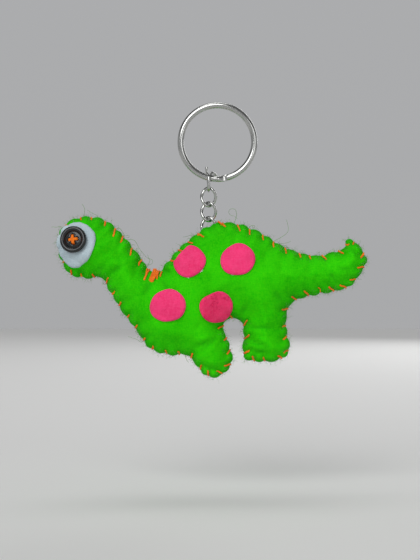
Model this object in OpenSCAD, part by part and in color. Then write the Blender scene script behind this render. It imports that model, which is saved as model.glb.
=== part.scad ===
// Plush keychain: a stuffed felt long-neck dinosaur on a short chain and a split key ring.
// Millimetres. The origin is the centre of the key ring, +X runs towards the tail,
// -Y is the decorated front of the toy and +Z is up, with everything hanging plumb.

/* [Key ring] */
// Outside diameter of the split ring
ring_od = 30; // [26:0.5:36]
// Thickness of the two coils together, across the ring and along its axis
ring_wire = 2.4; // [2:0.1:2.8]
// Slit between the two coils
coil_slit = 0.04; // [0.03:0.01:0.08]
// Arc over which the wire crosses from one coil to the other, in degrees
crossover_arc = 14; // [8:1:24]
// Where the crossover sits round the ring, in degrees from +X towards +Z
crossover_at = -84; // [-86:1:-60]
// Gap between a free wire end and the crossover, in degrees
free_end_gap = 1.5; // [1:0.5:3]

/* [Chain] */
// Wire diameter of the chain links
link_wire = 1.15; // [0.9:0.05:1.3]
// Outside length of a link
link_len = 8; // [7.5:0.1:10]
// Outside width of a link
link_w = 6.4; // [6:0.1:7.5]
// Twist of a curb link from its middle to either end, in degrees
link_twist = 35; // [32:1:40]
// Play between two links that hang in each other
link_play = 0.14; // [0.1:0.01:0.3]
// Distance of the hanging chain from the middle of the ring, towards the head
chain_offset = 3.3; // [2:0.1:5]

/* [End link that was opened for the ring] */
// Radius of the hook that goes over the ring
hook_r = 2.9; // [2.8:0.05:3.4]
// Yaw of the hook, in degrees, which carries its end towards the tail
hook_yaw = 32; // [24:1:36]
// Play between the hook and the inside of the ring
hook_play = 0.3; // [0.2:0.05:0.6]
// How far short of level the hook's cut end stops, in degrees
hook_short = 14; // [8:1:30]
// Height that the other cut end stands up above the hook's middle
stub_rise = 5.1; // [4:0.1:6]
// Lean of that cut end towards the head
stub_lean = 0.8; // [0:0.1:1.2]
// Share of the link's half width that it leans inwards, towards the hook
stub_close = 0.16; // [0.1:0.01:0.2]

/* [Felt toy] */
// Length of the toy from nose to tail
toy_len = 115.6; // [100:1:140]
// Thickness of the stuffed body at its middle
toy_depth = 24; // [20:1:30]
// Thickness of one layer of body felt
felt_t = 1.2; // [0.8:0.1:1.6]
// Gap between the two felt panels at the seam
seam_gap = 0.02; // [0.01:0.01:0.1]
// Gap between the stuffing and the felt round it
stuffing_gap = 0.05; // [0.02:0.01:0.2]
// Depth of the sewn link's top above the toy's hanging point
sewn_rise = 3.96; // [3.4:0.1:4.4]
// Clearance round the sewn link where it lies between the panels
pocket_play = 0.06; // [0.04:0.01:0.2]
// Extra room on each side of that link for its twist
pocket_slack = 0.3; // [0.2:0.05:0.35]

/* [Sewing thread] */
// Diameter of the sewing floss
thread_d = 0.8; // [0.5:0.05:1]
// Distance from one whip stitch to the next along the edge
stitch_pitch = 5; // [4:0.25:7]
// Distance that a stitch reaches in from the edge
stitch_depth = 2.8; // [2.2:0.1:3.4]
// Slant of a stitch, in degrees
stitch_slant = 28; // [0:1:35]
// Wraps in the bundle at the valley behind the neck
wrap_count = 4; // [2:1:5]
// Tilt of the two upper loops that tie the sewn link in, in degrees
lashing_tilt = 36; // [30:1:42]
// Diameter of the knots inside the toy
knot_d = 2.4; // [1.8:0.1:3]
// Depth of the knots below the felt
knot_sink = 1.2; // [0.8:0.1:1.6]

/* [Felt spots] */
// Thickness of the spot felt
spot_t = 1; // [0.6:0.1:1.4]
// Diameter of the spot on the shoulder
shoulder_spot_d = 11.7; // [9:0.1:13]
// Diameter of the spot on the rump
rump_spot_d = 12.3; // [9:0.1:14]
// Diameter of the spot on the chest
chest_spot_d = 12.6; // [9:0.1:14]
// Diameter of the spot on the belly
belly_spot_d = 11.7; // [9:0.1:13]
// Thickness of the glue under the spots and the eye disc
glue_t = 0.12; // [0.08:0.01:0.2]
// Gap left on each side of the glue
glue_gap = 0.02; // [0.01:0.01:0.05]
// Width of the dry edge round the glue under a spot or the eye disc
glue_inset = 0.5; // [0.3:0.1:1]

/* [Eye] */
// Width of the white felt eye disc
eye_w = 14.7; // [13:0.1:15]
// Height of the white felt eye disc
eye_h = 16.8; // [14:0.1:18]
// Thickness of the eye disc felt
eye_t = 1.2; // [0.8:0.1:1.6]
// Diameter of the button
button_d = 10; // [9:0.1:11]
// Thickness of the button at its rim
button_t = 2.4; // [2:0.1:3]
// Width of the button's raised rim
button_rim = 1.3; // [1:0.1:1.6]
// Depth of the button's dish below its rim
button_dish = 0.9; // [0.6:0.1:1.2]
// Bevel of the button's edges
button_bevel = 0.5; // [0.3:0.1:0.6]
// Diameter of each of the button's four holes
button_hole_d = 1.5; // [1.3:0.1:1.6]
// Distance of a button hole from the button's middle
button_hole_r = 1.45; // [1.4:0.05:1.7]
// Tilt of the button's face, in degrees
button_tilt = 14; // [8:1:20]
// Direction of that tilt, turned from the head's nose towards its top, in degrees
button_turn = 38; // [20:1:50]
// Gap between the button and the eye disc
button_seat_gap = 0.04; // [0.02:0.01:0.1]

/* [Hidden] */

$fn = 48;
big = 200;
overlap = 0.01;

// Key ring and chain
ring_mid = (ring_od - ring_wire) / 2;
chain_x = -chain_offset;
link_pitch = link_wire + link_play;
link_rise = link_len - link_wire;
link_half_w = (link_w - link_wire) / 2;
hook_mid_x = chain_x + hook_r * sin(hook_yaw);
ring_inside_z = -sqrt(pow(ring_mid - ring_wire / 2, 2) - pow(hook_mid_x, 2));
hook_z = ring_inside_z + hook_play + link_wire / 2 - hook_r;
connector_bottom_z = hook_z + hook_r + link_wire / 2 - (link_len - link_wire / 2);
bend_z = connector_bottom_z + link_half_w;
upper_top_z = connector_bottom_z + link_pitch;
lower_top_z = upper_top_z - link_rise + link_pitch;
sewn_top_z = lower_top_z - link_rise + link_pitch;
tube_sides = 12;
link_steps = 36;
bend_steps = 12;

// The toy is laid out round its hanging point
hang = [chain_x, 0, sewn_top_z - sewn_rise];

// Pattern of a panel in (x, z), clockwise from the top of the head:
// head, neck, valley, hump, tail with its curled tip, hind leg, gap, fore leg, chest, throat, nose
PATTERN = [
    [-44, 4], [-38, 2.4], [-32.5, -2.8], [-26.5, -10], [-23, -15], [-19.5, -17], [-16, -13.8],
    [-11, -7.8], [-5, -2.8], [0.5, 0.8], [6, 2], [13, 0.8], [20, -2.2], [27, -6.6], [34, -9.4],
    [41, -10.5], [47, -9.2], [51, -7.6], [51.4, -5], [54, -4.6], [57, -7.8], [59, -12],
    [57, -16.5], [53, -21.5], [46, -23.8], [38, -25.2], [31.8, -27.4], [29.2, -31.5],
    [29, -38], [29.6, -44.5], [27.5, -48.6], [21.5, -49.5], [14.8, -48], [13.5, -42],
    [13, -37], [9.5, -34], [6, -35.5], [5.8, -39], [7.6, -44], [8.4, -50], [5, -54.8],
    [0, -55.6], [-4, -52], [-7.8, -47.6], [-15, -47.2], [-22, -44.8], [-27, -38], [-32, -31.5],
    [-37, -23.5], [-40, -18.5], [-46, -18.6], [-52, -17], [-55.4, -11], [-56.6, -4.5],
    [-53.8, 1], [-49.2, 3.6]
];
pattern_len = max([for (p = PATTERN) p.x]) - min([for (p = PATTERN) p.x]);
pattern_scale = toy_len / pattern_len;
spline_steps = 3;
outline = closed_curve([for (p = PATTERN) p * pattern_scale], spline_steps);

// Stuffed parts as chains of rounded stations: [x, z, radius in the panel's plane, share of the depth]
HEAD = [[-49, -5, 6.6, 0.62], [-46.2, -7.4, 9.2, 0.7]];
NECK = [
    [-46.2, -7.4, 9.2, 0.7], [-37, -11.4, 7.4, 0.58], [-31.2, -17.2, 6.9, 0.6],
    [-21, -29, 10.6, 0.8]
];
BODY = [
    [-21, -29, 10.6, 0.8], [-8.6, -29, 15.6, 0.97], [4, -16.8, 16, 1],
    [17.5, -18.5, 15, 0.93], [25, -17.2, 10, 0.75]
];
TAIL = [
    [25, -17.2, 10, 0.75], [35, -17.4, 6.3, 0.52], [47, -16.4, 5.8, 0.44],
    [53.5, -14, 3.6, 0.32]
];
FORE_LEG = [[-7, -33, 12, 0.86], [-0.6, -42, 7.2, 0.62], [1.4, -48.6, 5.6, 0.5]];
HIND_LEG = [[19.5, -25, 11.5, 0.85], [21.2, -35, 7, 0.64], [21.4, -41.8, 6.4, 0.54]];
half_depth = toy_depth / 2;

// Thread
thread_r = thread_d / 2;
loop_r = (stitch_depth + thread_d) / 2;

// Places on the toy
VALLEY = [-19.5, -17] * pattern_scale;
SHOULDER = [-7.1, -12.2] * pattern_scale;
RUMP = [11, -11.6] * pattern_scale;
CHEST = [-15.3, -28.5] * pattern_scale;
BELLY = [2.4, -29.4] * pattern_scale;
EYE = [-48.9, -6.6] * pattern_scale;
BUTTON = [-49.5, -4.8] * pattern_scale;
button_y = -HEAD[0][3] * half_depth - glue_t - eye_t;

// ---- small functions ----

function unit(v) = v / norm(v);

function total(v, i = 0) = i < len(v) ? v[i] + total(v, i + 1) : 0;

// Catmull-Rom curve through a closed ring of points
function curve_point(a, b, c, d, t) =
    ((2 * b) + (c - a) * t + (2 * a - 5 * b + 4 * c - d) * t * t + (3 * b - a - 3 * c + d) * t * t * t) / 2;

function closed_curve(ring, steps) = [
    for (i = [0 : len(ring) - 1], s = [0 : steps - 1])
        let (n = len(ring))
        curve_point(ring[(i + n - 1) % n], ring[i], ring[(i + 1) % n], ring[(i + 2) % n], s / steps)
];

// Length of the outline up to each of its points
side_len = [for (i = [0 : len(outline) - 1]) norm(outline[(i + 1) % len(outline)] - outline[i])];
perimeter = total(side_len);
function run_to(i) = i == 0 ? 0 : run_to(i - 1) + side_len[i - 1];
runs = [for (i = [0 : len(outline) - 1]) run_to(i)];

// Place and direction on the outline at a given length along it
function side_at(run) = max([for (i = [0 : len(runs) - 1]) if (runs[i] <= run) i]);
function edge_dir(i) = unit(outline[(i + 1) % len(outline)] - outline[i]);
function edge_place(run) = let (i = side_at(run)) outline[i] + edge_dir(i) * (run - runs[i]);

// ---- shapes shared by several pieces ----

// A closed or open round wire along a path, with `side` never parallel to the path
module wire(path, radius, side, closed) {
    n = len(path);
    dirs = [
        for (i = [0 : n - 1])
            unit(closed ? path[(i + 1) % n] - path[(i + n - 1) % n]
                : path[min(i + 1, n - 1)] - path[max(i - 1, 0)])
    ];
    points = [
        for (i = [0 : n - 1], k = [0 : tube_sides - 1])
            let (a = unit(cross(dirs[i], side)), b = cross(dirs[i], a), turn = 360 * k / tube_sides)
            path[i] + radius * (cos(turn) * a + sin(turn) * b)
    ];
    walls = [
        for (i = [0 : n - (closed ? 1 : 2)], k = [0 : tube_sides - 1])
            let (j = (i + 1) % n, m = (k + 1) % tube_sides)
            each [
                [i * tube_sides + k, i * tube_sides + m, j * tube_sides + m],
                [i * tube_sides + k, j * tube_sides + m, j * tube_sides + k]
            ]
    ];
    caps = closed ? [] : [
        [for (k = [tube_sides - 1 : -1 : 0]) k],
        [for (k = [0 : tube_sides - 1]) (n - 1) * tube_sides + k]
    ];
    polyhedron(points, concat(walls, caps), convexity = 4);
}

// Centreline of a curb link that hangs from top_z, twisted from one end to the other
function link_path(top_z, foot_twist) = [
    for (i = [0 : link_steps - 1])
        let (
            turn = 360 * i / link_steps,
            x = link_half_w * cos(turn),
            rise = sin(turn),
            yaw = link_twist * max(rise, 0) + foot_twist * min(rise, 0)
        )
        [chain_x + x * cos(yaw), -x * sin(yaw), top_z + (rise - 1) * link_rise / 2]
];

module curb_link(top_z, foot_twist = link_twist) {
    wire(link_path(top_z, foot_twist), link_wire / 2, [0, 1, 0], true);
}

// The flat layout of a panel, from depth y0 to depth y1
module panel_sheet(y0, y1) {
    translate([0, y1, 0])
        rotate([90, 0, 0])
            linear_extrude(y1 - y0)
                polygon(outline);
}

module station(s, grow) {
    translate([s[0] * pattern_scale, 0, s[1] * pattern_scale])
        scale([1, (s[3] * half_depth + grow) / (s[2] * pattern_scale + grow), 1])
            sphere(s[2] * pattern_scale + grow, $fn = 20);
}

module stuffed_chain(stations, grow) {
    for (i = [0 : len(stations) - 2])
        hull() {
            station(stations[i], grow);
            station(stations[i + 1], grow);
        }
}

// The stuffed shape, larger or smaller than the outside of the felt by `grow`
module pillow(grow) {
    for (chain = [HEAD, NECK, BODY, TAIL, FORE_LEG, HIND_LEG])
        stuffed_chain(chain, grow);
}

// Everything in front of, or behind, the seam
module half_space(side) {
    translate([0, side * (big + seam_gap) / 2, 0])
        cube(big, center = true);
}

// The outside of the toy's front, swelled by `grow`
module front_skin(grow) {
    panel_sheet(-felt_t - grow, 0);
    pillow(grow);
}

// An upright oval whose centreline is the sewn link's, fattened by `grow`
module link_oval(grow) {
    scale([(link_half_w + grow) / (link_rise / 2 + grow), 1])
        circle(link_rise / 2 + grow);
}

// The room that the sewn link takes up between the panels
module link_pocket() {
    reach = link_wire / 2 + pocket_play;
    slot = 2 * (reach + pocket_slack);
    translate([0, slot / 2, sewn_rise - link_rise / 2])
        rotate([90, 0, 0])
            linear_extrude(slot)
                difference() {
                    link_oval(reach);
                    link_oval(-reach);
                }
}

module panel(side) {
    translate(hang)
        difference() {
            intersection() {
                union() {
                    panel_sheet(-felt_t, felt_t);
                    pillow(0);
                }
                half_space(side);
            }
            pillow(-felt_t);
            link_pocket();
        }
}

// A layer over the front of the toy between two heights above the felt, cut to a plan shape
module front_layer(from, to) {
    difference() {
        intersection() {
            front_skin(to);
            half_space(-1);
            rotate([90, 0, 0])
                linear_extrude(big)
                    children();
        }
        front_skin(from);
    }
}

// The plan of a round spot, trimmed where it would pass the felt's edge
module spot_plan(place, diameter) {
    intersection() {
        translate(place)
            circle(d = diameter, $fn = 32);
        offset(delta = -glue_t)
            polygon(outline);
    }
}

module spot(place, diameter) {
    color("hotpink")
        translate(hang)
            front_layer(glue_t + 2 * glue_gap, glue_t + 2 * glue_gap + spot_t)
                spot_plan(place, diameter);
}

// The egg-shaped plan of the eye disc, kept inside the head's edge
module eye_plan(inset) {
    intersection() {
        translate(EYE)
            scale([eye_w / eye_h, 1])
                circle(d = eye_h - 2 * inset, $fn = 40);
        polygon(outline);
    }
}

// Moves a shape from the button's own axis to its place on the head, facing out of the front
module at_button() {
    translate([BUTTON.x, button_y, BUTTON.y])
        rotate([0, button_turn, 0])
            rotate([0, 0, -button_tilt])
                rotate([90, 0, 0])
                    children();
}

// One loop of floss round the edge of the felt, or a bundle of them side by side
module edge_loop(run, slant, count, radius) {
    i = side_at(run);
    dir = edge_dir(i);
    inward = [dir.y, -dir.x];
    place = edge_place(run) + inward * (radius - thread_r);
    translate([place.x, 0, place.y])
        rotate([0, -atan2(dir.y, dir.x) - slant, 0])
            for (k = [0 : count - 1])
                translate([(k - (count - 1) / 2) * (thread_d + 2 * overlap), 0, 0])
                    rotate([0, 90, 0])
                        rotate_extrude()
                            translate([radius, 0])
                                circle(thread_r);
}

// ---- key ring and chain ----

// Part of a ring-shaped cut, from one angle over an arc, between two heights along the ring's axis
module ring_cut(from, arc, low, high) {
    rotate([0, 0, from])
        rotate_extrude(angle = arc)
            translate([ring_mid - ring_wire, low])
                square([2 * ring_wire, high - low]);
}

// Two coils of one wire, joined where the wire crosses from one coil to the other
module key_ring() {
    start = crossover_at - crossover_arc / 2;
    finish = start + crossover_arc;
    color("silver")
        rotate([90, 0, 0])
            difference() {
                rotate_extrude()
                    translate([ring_mid, 0])
                        circle(d = ring_wire);
                ring_cut(finish, 360 - crossover_arc, -coil_slit / 2, coil_slit / 2);
                ring_cut(finish, free_end_gap, 0, ring_wire);
                ring_cut(start - free_end_gap, free_end_gap, -ring_wire, 0);
            }
}

module connector_link() {
    toward = [sin(hook_yaw), cos(hook_yaw)];
    hook = [
        for (i = [0 : bend_steps])
            let (turn = hook_short + (180 - hook_short) * i / bend_steps, out = hook_r * (1 + cos(turn)))
            [chain_x + toward.x * out, -link_half_w + toward.y * out, hook_z + hook_r * sin(turn)]
    ];
    bend = [
        for (i = [0 : bend_steps])
            let (turn = 180 + 180 * i / bend_steps)
            [chain_x, link_half_w * cos(turn), bend_z + link_half_w * sin(turn)]
    ];
    stub_tall = hook_z + stub_rise - bend_z;
    stub = [
        for (share = [0.4, 0.7, 1])
            [
                chain_x - stub_lean * share,
                link_half_w * (1 - stub_close * share),
                bend_z + stub_tall * share
            ]
    ];
    color("silver")
        wire(concat(hook, bend, stub), link_wire / 2, [1, 0, 0], false);
}

module upper_link() {
    color("silver")
        curb_link(upper_top_z);
}

module lower_link() {
    color("silver")
        curb_link(lower_top_z);
}

// The last link lies flat between the panels at its foot
module sewn_link() {
    color("silver")
        curb_link(sewn_top_z, 0);
}

// ---- felt toy ----

module front_panel() {
    color("limegreen")
        panel(-1);
}

module back_panel() {
    color("limegreen")
        panel(1);
}

module stuffing() {
    color("white")
        translate(hang)
            difference() {
                pillow(-felt_t - stuffing_gap);
                link_pocket();
            }
}

// Whip stitches round the whole edge, left out under the eye disc and the shoulder spot,
// at the valley bundle and at the link
module seam_stitches() {
    count = floor(perimeter / stitch_pitch);
    step = perimeter / count;
    color("darkorange")
        translate(hang)
            for (k = [0 : count - 1]) {
                place = edge_place(k * step);
                clear_of_eye = norm(place - EYE) > eye_h / 2 + stitch_depth;
                clear_of_valley = norm(place - VALLEY) > wrap_count * thread_d + thread_d;
                clear_of_spot = norm(place - SHOULDER) > shoulder_spot_d / 2 + stitch_depth;
                clear_of_link = norm(place) > link_half_w + link_wire + 2 * thread_d;
                if (clear_of_eye && clear_of_valley && clear_of_spot && clear_of_link)
                    edge_loop(k * step, stitch_slant, 1, loop_r);
            }
}

// A bundle of wraps drawn tight in the valley behind the neck
module valley_wraps() {
    nearest = min([for (p = outline) norm(p - VALLEY)]);
    valley_side = [for (i = [0 : len(outline) - 1]) if (norm(outline[i] - VALLEY) == nearest) i][0];
    color("orangered")
        translate(hang)
            edge_loop(runs[valley_side], 0, wrap_count, loop_r + thread_r);
}

// Three loops of floss that hold the sewn link between the panels
module link_lashing() {
    loop = link_wire / 2 + thread_d + pocket_play;
    // Where the two upper loops sit on the link's oval, in degrees below its middle
    turn = 38;
    color("darkorange")
        translate(hang) {
            for (side = [-1, 1])
                translate([
                    side * link_half_w * cos(turn), 0,
                    sewn_rise - link_rise * (1 + sin(turn)) / 2
                ])
                    rotate([0, side * lashing_tilt, 0])
                        rotate_extrude()
                            translate([loop, 0])
                                circle(thread_r);
            translate([0, 0, sewn_rise - link_rise])
                rotate([0, 90, 0])
                    rotate_extrude()
                        translate([loop, 0])
                            circle(thread_r);
        }
}

module spot_shoulder() {
    spot(SHOULDER, shoulder_spot_d);
}

module spot_rump() {
    spot(RUMP, rump_spot_d);
}

module spot_chest() {
    spot(CHEST, chest_spot_d);
}

module spot_belly() {
    spot(BELLY, belly_spot_d);
}

module spot_glue() {
    color("whitesmoke")
        translate(hang)
            front_layer(glue_gap, glue_gap + glue_t) {
                spot_plan(SHOULDER, shoulder_spot_d - 2 * glue_inset);
                spot_plan(RUMP, rump_spot_d - 2 * glue_inset);
                spot_plan(CHEST, chest_spot_d - 2 * glue_inset);
                spot_plan(BELLY, belly_spot_d - 2 * glue_inset);
            }
}

// A layer under the eye, pressed flat where the button sits
module eye_layer(from, to, inset) {
    difference() {
        front_layer(from, to)
            eye_plan(inset);
        at_button()
            translate([0, 0, -button_seat_gap])
                cylinder(d = button_d + 2 * thread_d, h = toy_depth);
    }
}

module eye_disc() {
    lift = glue_t + 2 * glue_gap;
    color("white")
        translate(hang)
            eye_layer(lift, lift + eye_t, 0);
}

module eye_glue() {
    color("whitesmoke")
        translate(hang)
            eye_layer(glue_gap, glue_gap + glue_t, 1.6 * glue_inset);
}

// A dished button with a raised rim and four holes
module button() {
    r = button_d / 2;
    dish_r = r - button_rim;
    color("black")
        translate(hang)
            at_button()
                difference() {
                    rotate_extrude()
                        polygon([
                            [0, 0], [r - 2 * button_bevel, 0], [r, 2 * button_bevel],
                            [r, button_t - button_bevel], [r - button_bevel, button_t],
                            [dish_r + button_bevel, button_t],
                            [dish_r - button_bevel, button_t - button_dish], [0, button_t - button_dish]
                        ]);
                    for (turn = [0 : 90 : 270])
                        rotate([0, 0, turn])
                            translate([button_hole_r, 0, -overlap])
                                cylinder(d = button_hole_d, h = button_t);
                }
}

// Two crossed strands on the button's dish, with a leg down each hole to the inside of the felt
module button_thread() {
    top = button_t - button_dish + overlap + thread_r;
    leg = top + eye_t + felt_t + knot_sink;
    color("darkorange")
        translate(hang)
            at_button() {
                for (turn = [0, 90])
                    rotate([0, 0, turn])
                        translate([-button_hole_r, 0, top])
                            rotate([0, 90, 0])
                                cylinder(r = thread_r, h = 2 * button_hole_r);
                for (turn = [0 : 90 : 270])
                    rotate([0, 0, turn])
                        translate([button_hole_r, 0, top - leg])
                            cylinder(r = thread_r, h = leg + thread_r);
            }
}

// Knots that end the button's floss, the valley bundle and the seam
module thread_knots() {
    depth = eye_t + felt_t + knot_sink + knot_d / 2;
    color("darkorange")
        translate(hang) {
            at_button()
                translate([0, 0, -depth])
                    sphere(d = knot_d);
            translate([VALLEY.x, 0, VALLEY.y - stitch_depth - knot_d])
                sphere(d = knot_d);
            translate([-link_half_w - knot_d, 0, -sewn_rise - knot_d])
                sphere(d = knot_d);
        }
}

key_ring();
connector_link();
upper_link();
lower_link();
sewn_link();
front_panel();
back_panel();
stuffing();
seam_stitches();
valley_wraps();
link_lashing();
spot_shoulder();
spot_rump();
spot_chest();
spot_belly();
spot_glue();
eye_disc();
eye_glue();
button();
button_thread();
thread_knots();
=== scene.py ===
import math
import random

import bmesh
import bpy
import numpy as np
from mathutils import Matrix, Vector
from mathutils.bvhtree import BVHTree
from mathutils.geometry import delaunay_2d_cdt


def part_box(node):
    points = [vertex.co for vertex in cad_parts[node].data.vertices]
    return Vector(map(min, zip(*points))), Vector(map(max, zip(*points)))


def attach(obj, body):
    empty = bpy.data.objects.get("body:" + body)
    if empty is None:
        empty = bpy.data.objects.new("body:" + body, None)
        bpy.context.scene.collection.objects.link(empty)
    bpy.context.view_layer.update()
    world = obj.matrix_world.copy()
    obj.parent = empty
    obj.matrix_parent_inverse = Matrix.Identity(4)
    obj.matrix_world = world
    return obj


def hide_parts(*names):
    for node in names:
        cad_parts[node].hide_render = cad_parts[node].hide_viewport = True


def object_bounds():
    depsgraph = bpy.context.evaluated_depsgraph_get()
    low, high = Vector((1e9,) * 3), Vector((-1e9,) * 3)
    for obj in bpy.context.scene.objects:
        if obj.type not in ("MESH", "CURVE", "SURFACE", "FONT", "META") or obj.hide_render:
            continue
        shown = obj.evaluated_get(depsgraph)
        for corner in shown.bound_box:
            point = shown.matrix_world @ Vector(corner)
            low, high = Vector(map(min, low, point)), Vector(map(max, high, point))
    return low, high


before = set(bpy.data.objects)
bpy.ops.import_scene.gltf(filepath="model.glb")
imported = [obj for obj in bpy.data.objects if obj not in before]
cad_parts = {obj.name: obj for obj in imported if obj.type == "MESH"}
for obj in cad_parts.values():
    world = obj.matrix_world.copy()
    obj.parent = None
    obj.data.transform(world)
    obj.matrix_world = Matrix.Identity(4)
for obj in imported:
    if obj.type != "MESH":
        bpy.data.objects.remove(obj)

CAD_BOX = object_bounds()

# Every length below is in millimetres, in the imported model's frame, until new_piece() makes it metres.
MM = 0.001
SEED = 7
rng = np.random.default_rng(SEED)

# ---------------------------------------------------------------- places taken from the frame


def node_box(node):
    """Lowest and highest corners of a CAD node."""
    low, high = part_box(node)
    return np.array(low) / MM, np.array(high) / MM


RING_LOW, RING_HIGH = node_box("key_ring")
LINK_LOW, LINK_HIGH = node_box("sewn_link")
TOY_LOW, TOY_HIGH = node_box("front_panel")
BUTTON_LOW, BUTTON_HIGH = node_box("button")

LINK_WIRE = 1.15
LINK_HALF_W = (LINK_HIGH[0] - LINK_LOW[0] - LINK_WIRE) / 2
LINK_RISE = LINK_HIGH[2] - LINK_LOW[2] - LINK_WIRE
SEWN_RISE = 3.96  # the sewn link's top wire above the toy's hanging point
HANG = np.array([(LINK_LOW[0] + LINK_HIGH[0]) / 2, 0, LINK_HIGH[2] - LINK_WIRE / 2 - SEWN_RISE])

# Pattern of a felt panel in (x, z) round the hanging point, clockwise from the top of the head:
# head, neck, valley, hump, tail with its curled tip, hind leg, gap, fore leg, chest, throat, nose
PATTERN = [
    [-44, 4], [-38, 2.4], [-32.5, -2.8], [-26.5, -10], [-23, -15], [-19.5, -17], [-16, -13.8],
    [-11, -7.8], [-5, -2.8], [0.5, 0.8], [6, 2], [13, 0.8], [20, -2.2], [27, -6.6], [34, -9.4],
    [41, -10.5], [47, -9.2], [51, -7.6], [51.4, -5], [54, -4.6], [57, -7.8], [59, -12],
    [57, -16.5], [53, -21.5], [46, -23.8], [38, -25.2], [31.8, -27.4], [29.2, -31.5],
    [29, -38], [30.2, -44.8], [28, -48.4], [21.8, -49.9], [13.6, -48.6], [13.3, -42],
    [13.2, -37.6], [12.1, -34.8], [9.2, -33.7], [6.1, -34.8], [5.4, -38], [7.3, -43], [8.6, -50], [5, -54.8],
    [0, -55.6], [-4, -52], [-7.8, -47.6], [-15, -47.2], [-22, -44.8], [-27, -38], [-32, -31.5],
    [-37, -23.5], [-40, -18.5], [-46, -18.6], [-52, -17], [-55.4, -11], [-56.6, -4.5],
    [-53.8, 1], [-49.2, 3.6],
]
PATTERN_LEN = max(p[0] for p in PATTERN) - min(p[0] for p in PATTERN)
SCALE = (TOY_HIGH[0] - TOY_LOW[0]) / PATTERN_LEN

VALLEY = np.array([-19.6, -16.6]) * SCALE
EYE = np.array([-49.1, -6.0]) * SCALE
BUTTON_TILT = math.radians(14)
BUTTON_TURN = math.radians(38)
BUTTON_AXIS = np.array([
    -math.sin(BUTTON_TILT) * math.cos(BUTTON_TURN),
    -math.cos(BUTTON_TILT),
    math.sin(BUTTON_TILT) * math.sin(BUTTON_TURN),
])
BUTTON_T = 2.4
BUTTON_BASE = (BUTTON_LOW + BUTTON_HIGH) / 2 - BUTTON_AXIS * BUTTON_T / 2

FELT_T = 1.2
SPOT_T = 1.0
EYE_T = 1.15
GLUE_T = 0.16
FLOSS_R = 0.37

def put(name, data):
    """An object in the scene for a mesh, a light or the camera."""
    thing = bpy.data.objects.new(name, data)
    bpy.context.collection.objects.link(thing)
    return thing


# ---------------------------------------------------------------- camera, lights and floor

VIEW_TALL = 210.0  # what the camera takes in from top to bottom, at the toy
CAMERA_AWAY = 520.0
SENSOR = 24.0
VIEW_MID = np.array([-2.8, 0.0, -51.7])
AIM = np.array([HANG[0], 0, HANG[2] - 22])
SUN_POWER, SUN_WIDTH, SUN_HEADING = 1.75, 42, (0.34, 1.0, -0.62)
# Soft boxes: name, place, width and height, and power
SOFT_BOXES = [
    ["front_fill", (650, -1100, 60), (500, 900), 2.4],
    ["top_light", (-100, 150, 1200), (900, 500), 3.2],
    ["back_light", (500, 1100, 420), (700, 700), 3.2],
]
# Brightness of the surroundings by height, from straight down (0) to straight up (1)
WALL_BANDS = [[0.0, 0.20], [0.40, 0.62], [0.60, 0.66], [0.72, 0.20], [1.0, 0.30]]
WALL_STRENGTH = 0.62
FLOOR_HALF, FLOOR_BELOW = 1800.0, 45.0


def make_camera():
    data = bpy.data.cameras.new("camera")
    data.sensor_fit = "VERTICAL"
    data.sensor_height = SENSOR
    data.lens = SENSOR * CAMERA_AWAY / VIEW_TALL
    data.clip_start = 0.01
    camera = put("camera", data)
    camera.location = (VIEW_MID + np.array([0, -CAMERA_AWAY, 0])) * MM
    camera.rotation_euler = (math.pi / 2, 0, 0)
    bpy.context.scene.camera = camera


def light_heading(way):
    return Vector(way).to_track_quat("-Z", "Y").to_euler()


def make_walls():
    """Pale surroundings in soft bands, which the ring and the button reflect."""
    world = bpy.data.worlds.new("studio")
    bpy.context.scene.world = world
    world.use_nodes = True
    nodes, links = world.node_tree.nodes, world.node_tree.links
    place = nodes.new("ShaderNodeTexCoord")
    split = nodes.new("ShaderNodeSeparateXYZ")
    ramp = nodes.new("ShaderNodeValToRGB")
    stops = ramp.color_ramp.elements
    for count, (height, shade) in enumerate(WALL_BANDS):
        stop = stops[count] if count < 2 else stops.new(height)
        stop.position = height
        stop.color = (shade, shade * 1.01, shade * 1.03, 1)
    shift = nodes.new("ShaderNodeMapRange")
    shift.inputs["From Min"].default_value = -1
    background = nodes["Background"]
    links.new(place.outputs["Generated"], split.inputs[0])
    links.new(split.outputs["Z"], shift.inputs["Value"])
    links.new(shift.outputs[0], ramp.inputs[0])
    links.new(ramp.outputs[0], background.inputs["Color"])
    background.inputs["Strength"].default_value = WALL_STRENGTH


def make_studio():
    key = bpy.data.lights.new("key_light", "SUN")
    key.energy, key.angle = SUN_POWER, math.radians(SUN_WIDTH)
    put("key_light", key).rotation_euler = light_heading(SUN_HEADING)
    for name, place, size, power in SOFT_BOXES:
        data = bpy.data.lights.new(name, "AREA")
        data.shape = "RECTANGLE"
        data.size, data.size_y = size[0] * MM, size[1] * MM
        data.energy = power
        light = put(name, data)
        light.location = np.array(place) * MM
        light.rotation_euler = light_heading(AIM - np.array(place, float))
    make_walls()
    bpy.context.scene.view_settings.view_transform = "Standard"


def make_floor():
    half, level = FLOOR_HALF * MM, CAD_BOX[0][2] - FLOOR_BELOW * MM
    corners = [(-half, -half, level), (half, -half, level), (half, half, level), (-half, half, level)]
    mesh = bpy.data.meshes.new("floor")
    mesh.from_pydata(corners, [], [(0, 1, 2, 3)])
    material = bpy.data.materials.new("pale_floor")
    material.use_nodes = True
    shader = material.node_tree.nodes["Principled BSDF"]
    shader.inputs["Base Color"].default_value = (0.80, 0.80, 0.79, 1)
    shader.inputs["Roughness"].default_value = 0.9
    mesh.materials.append(material)
    floor = put("floor", mesh)


# ---------------------------------------------------------------- node groups and materials


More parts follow.
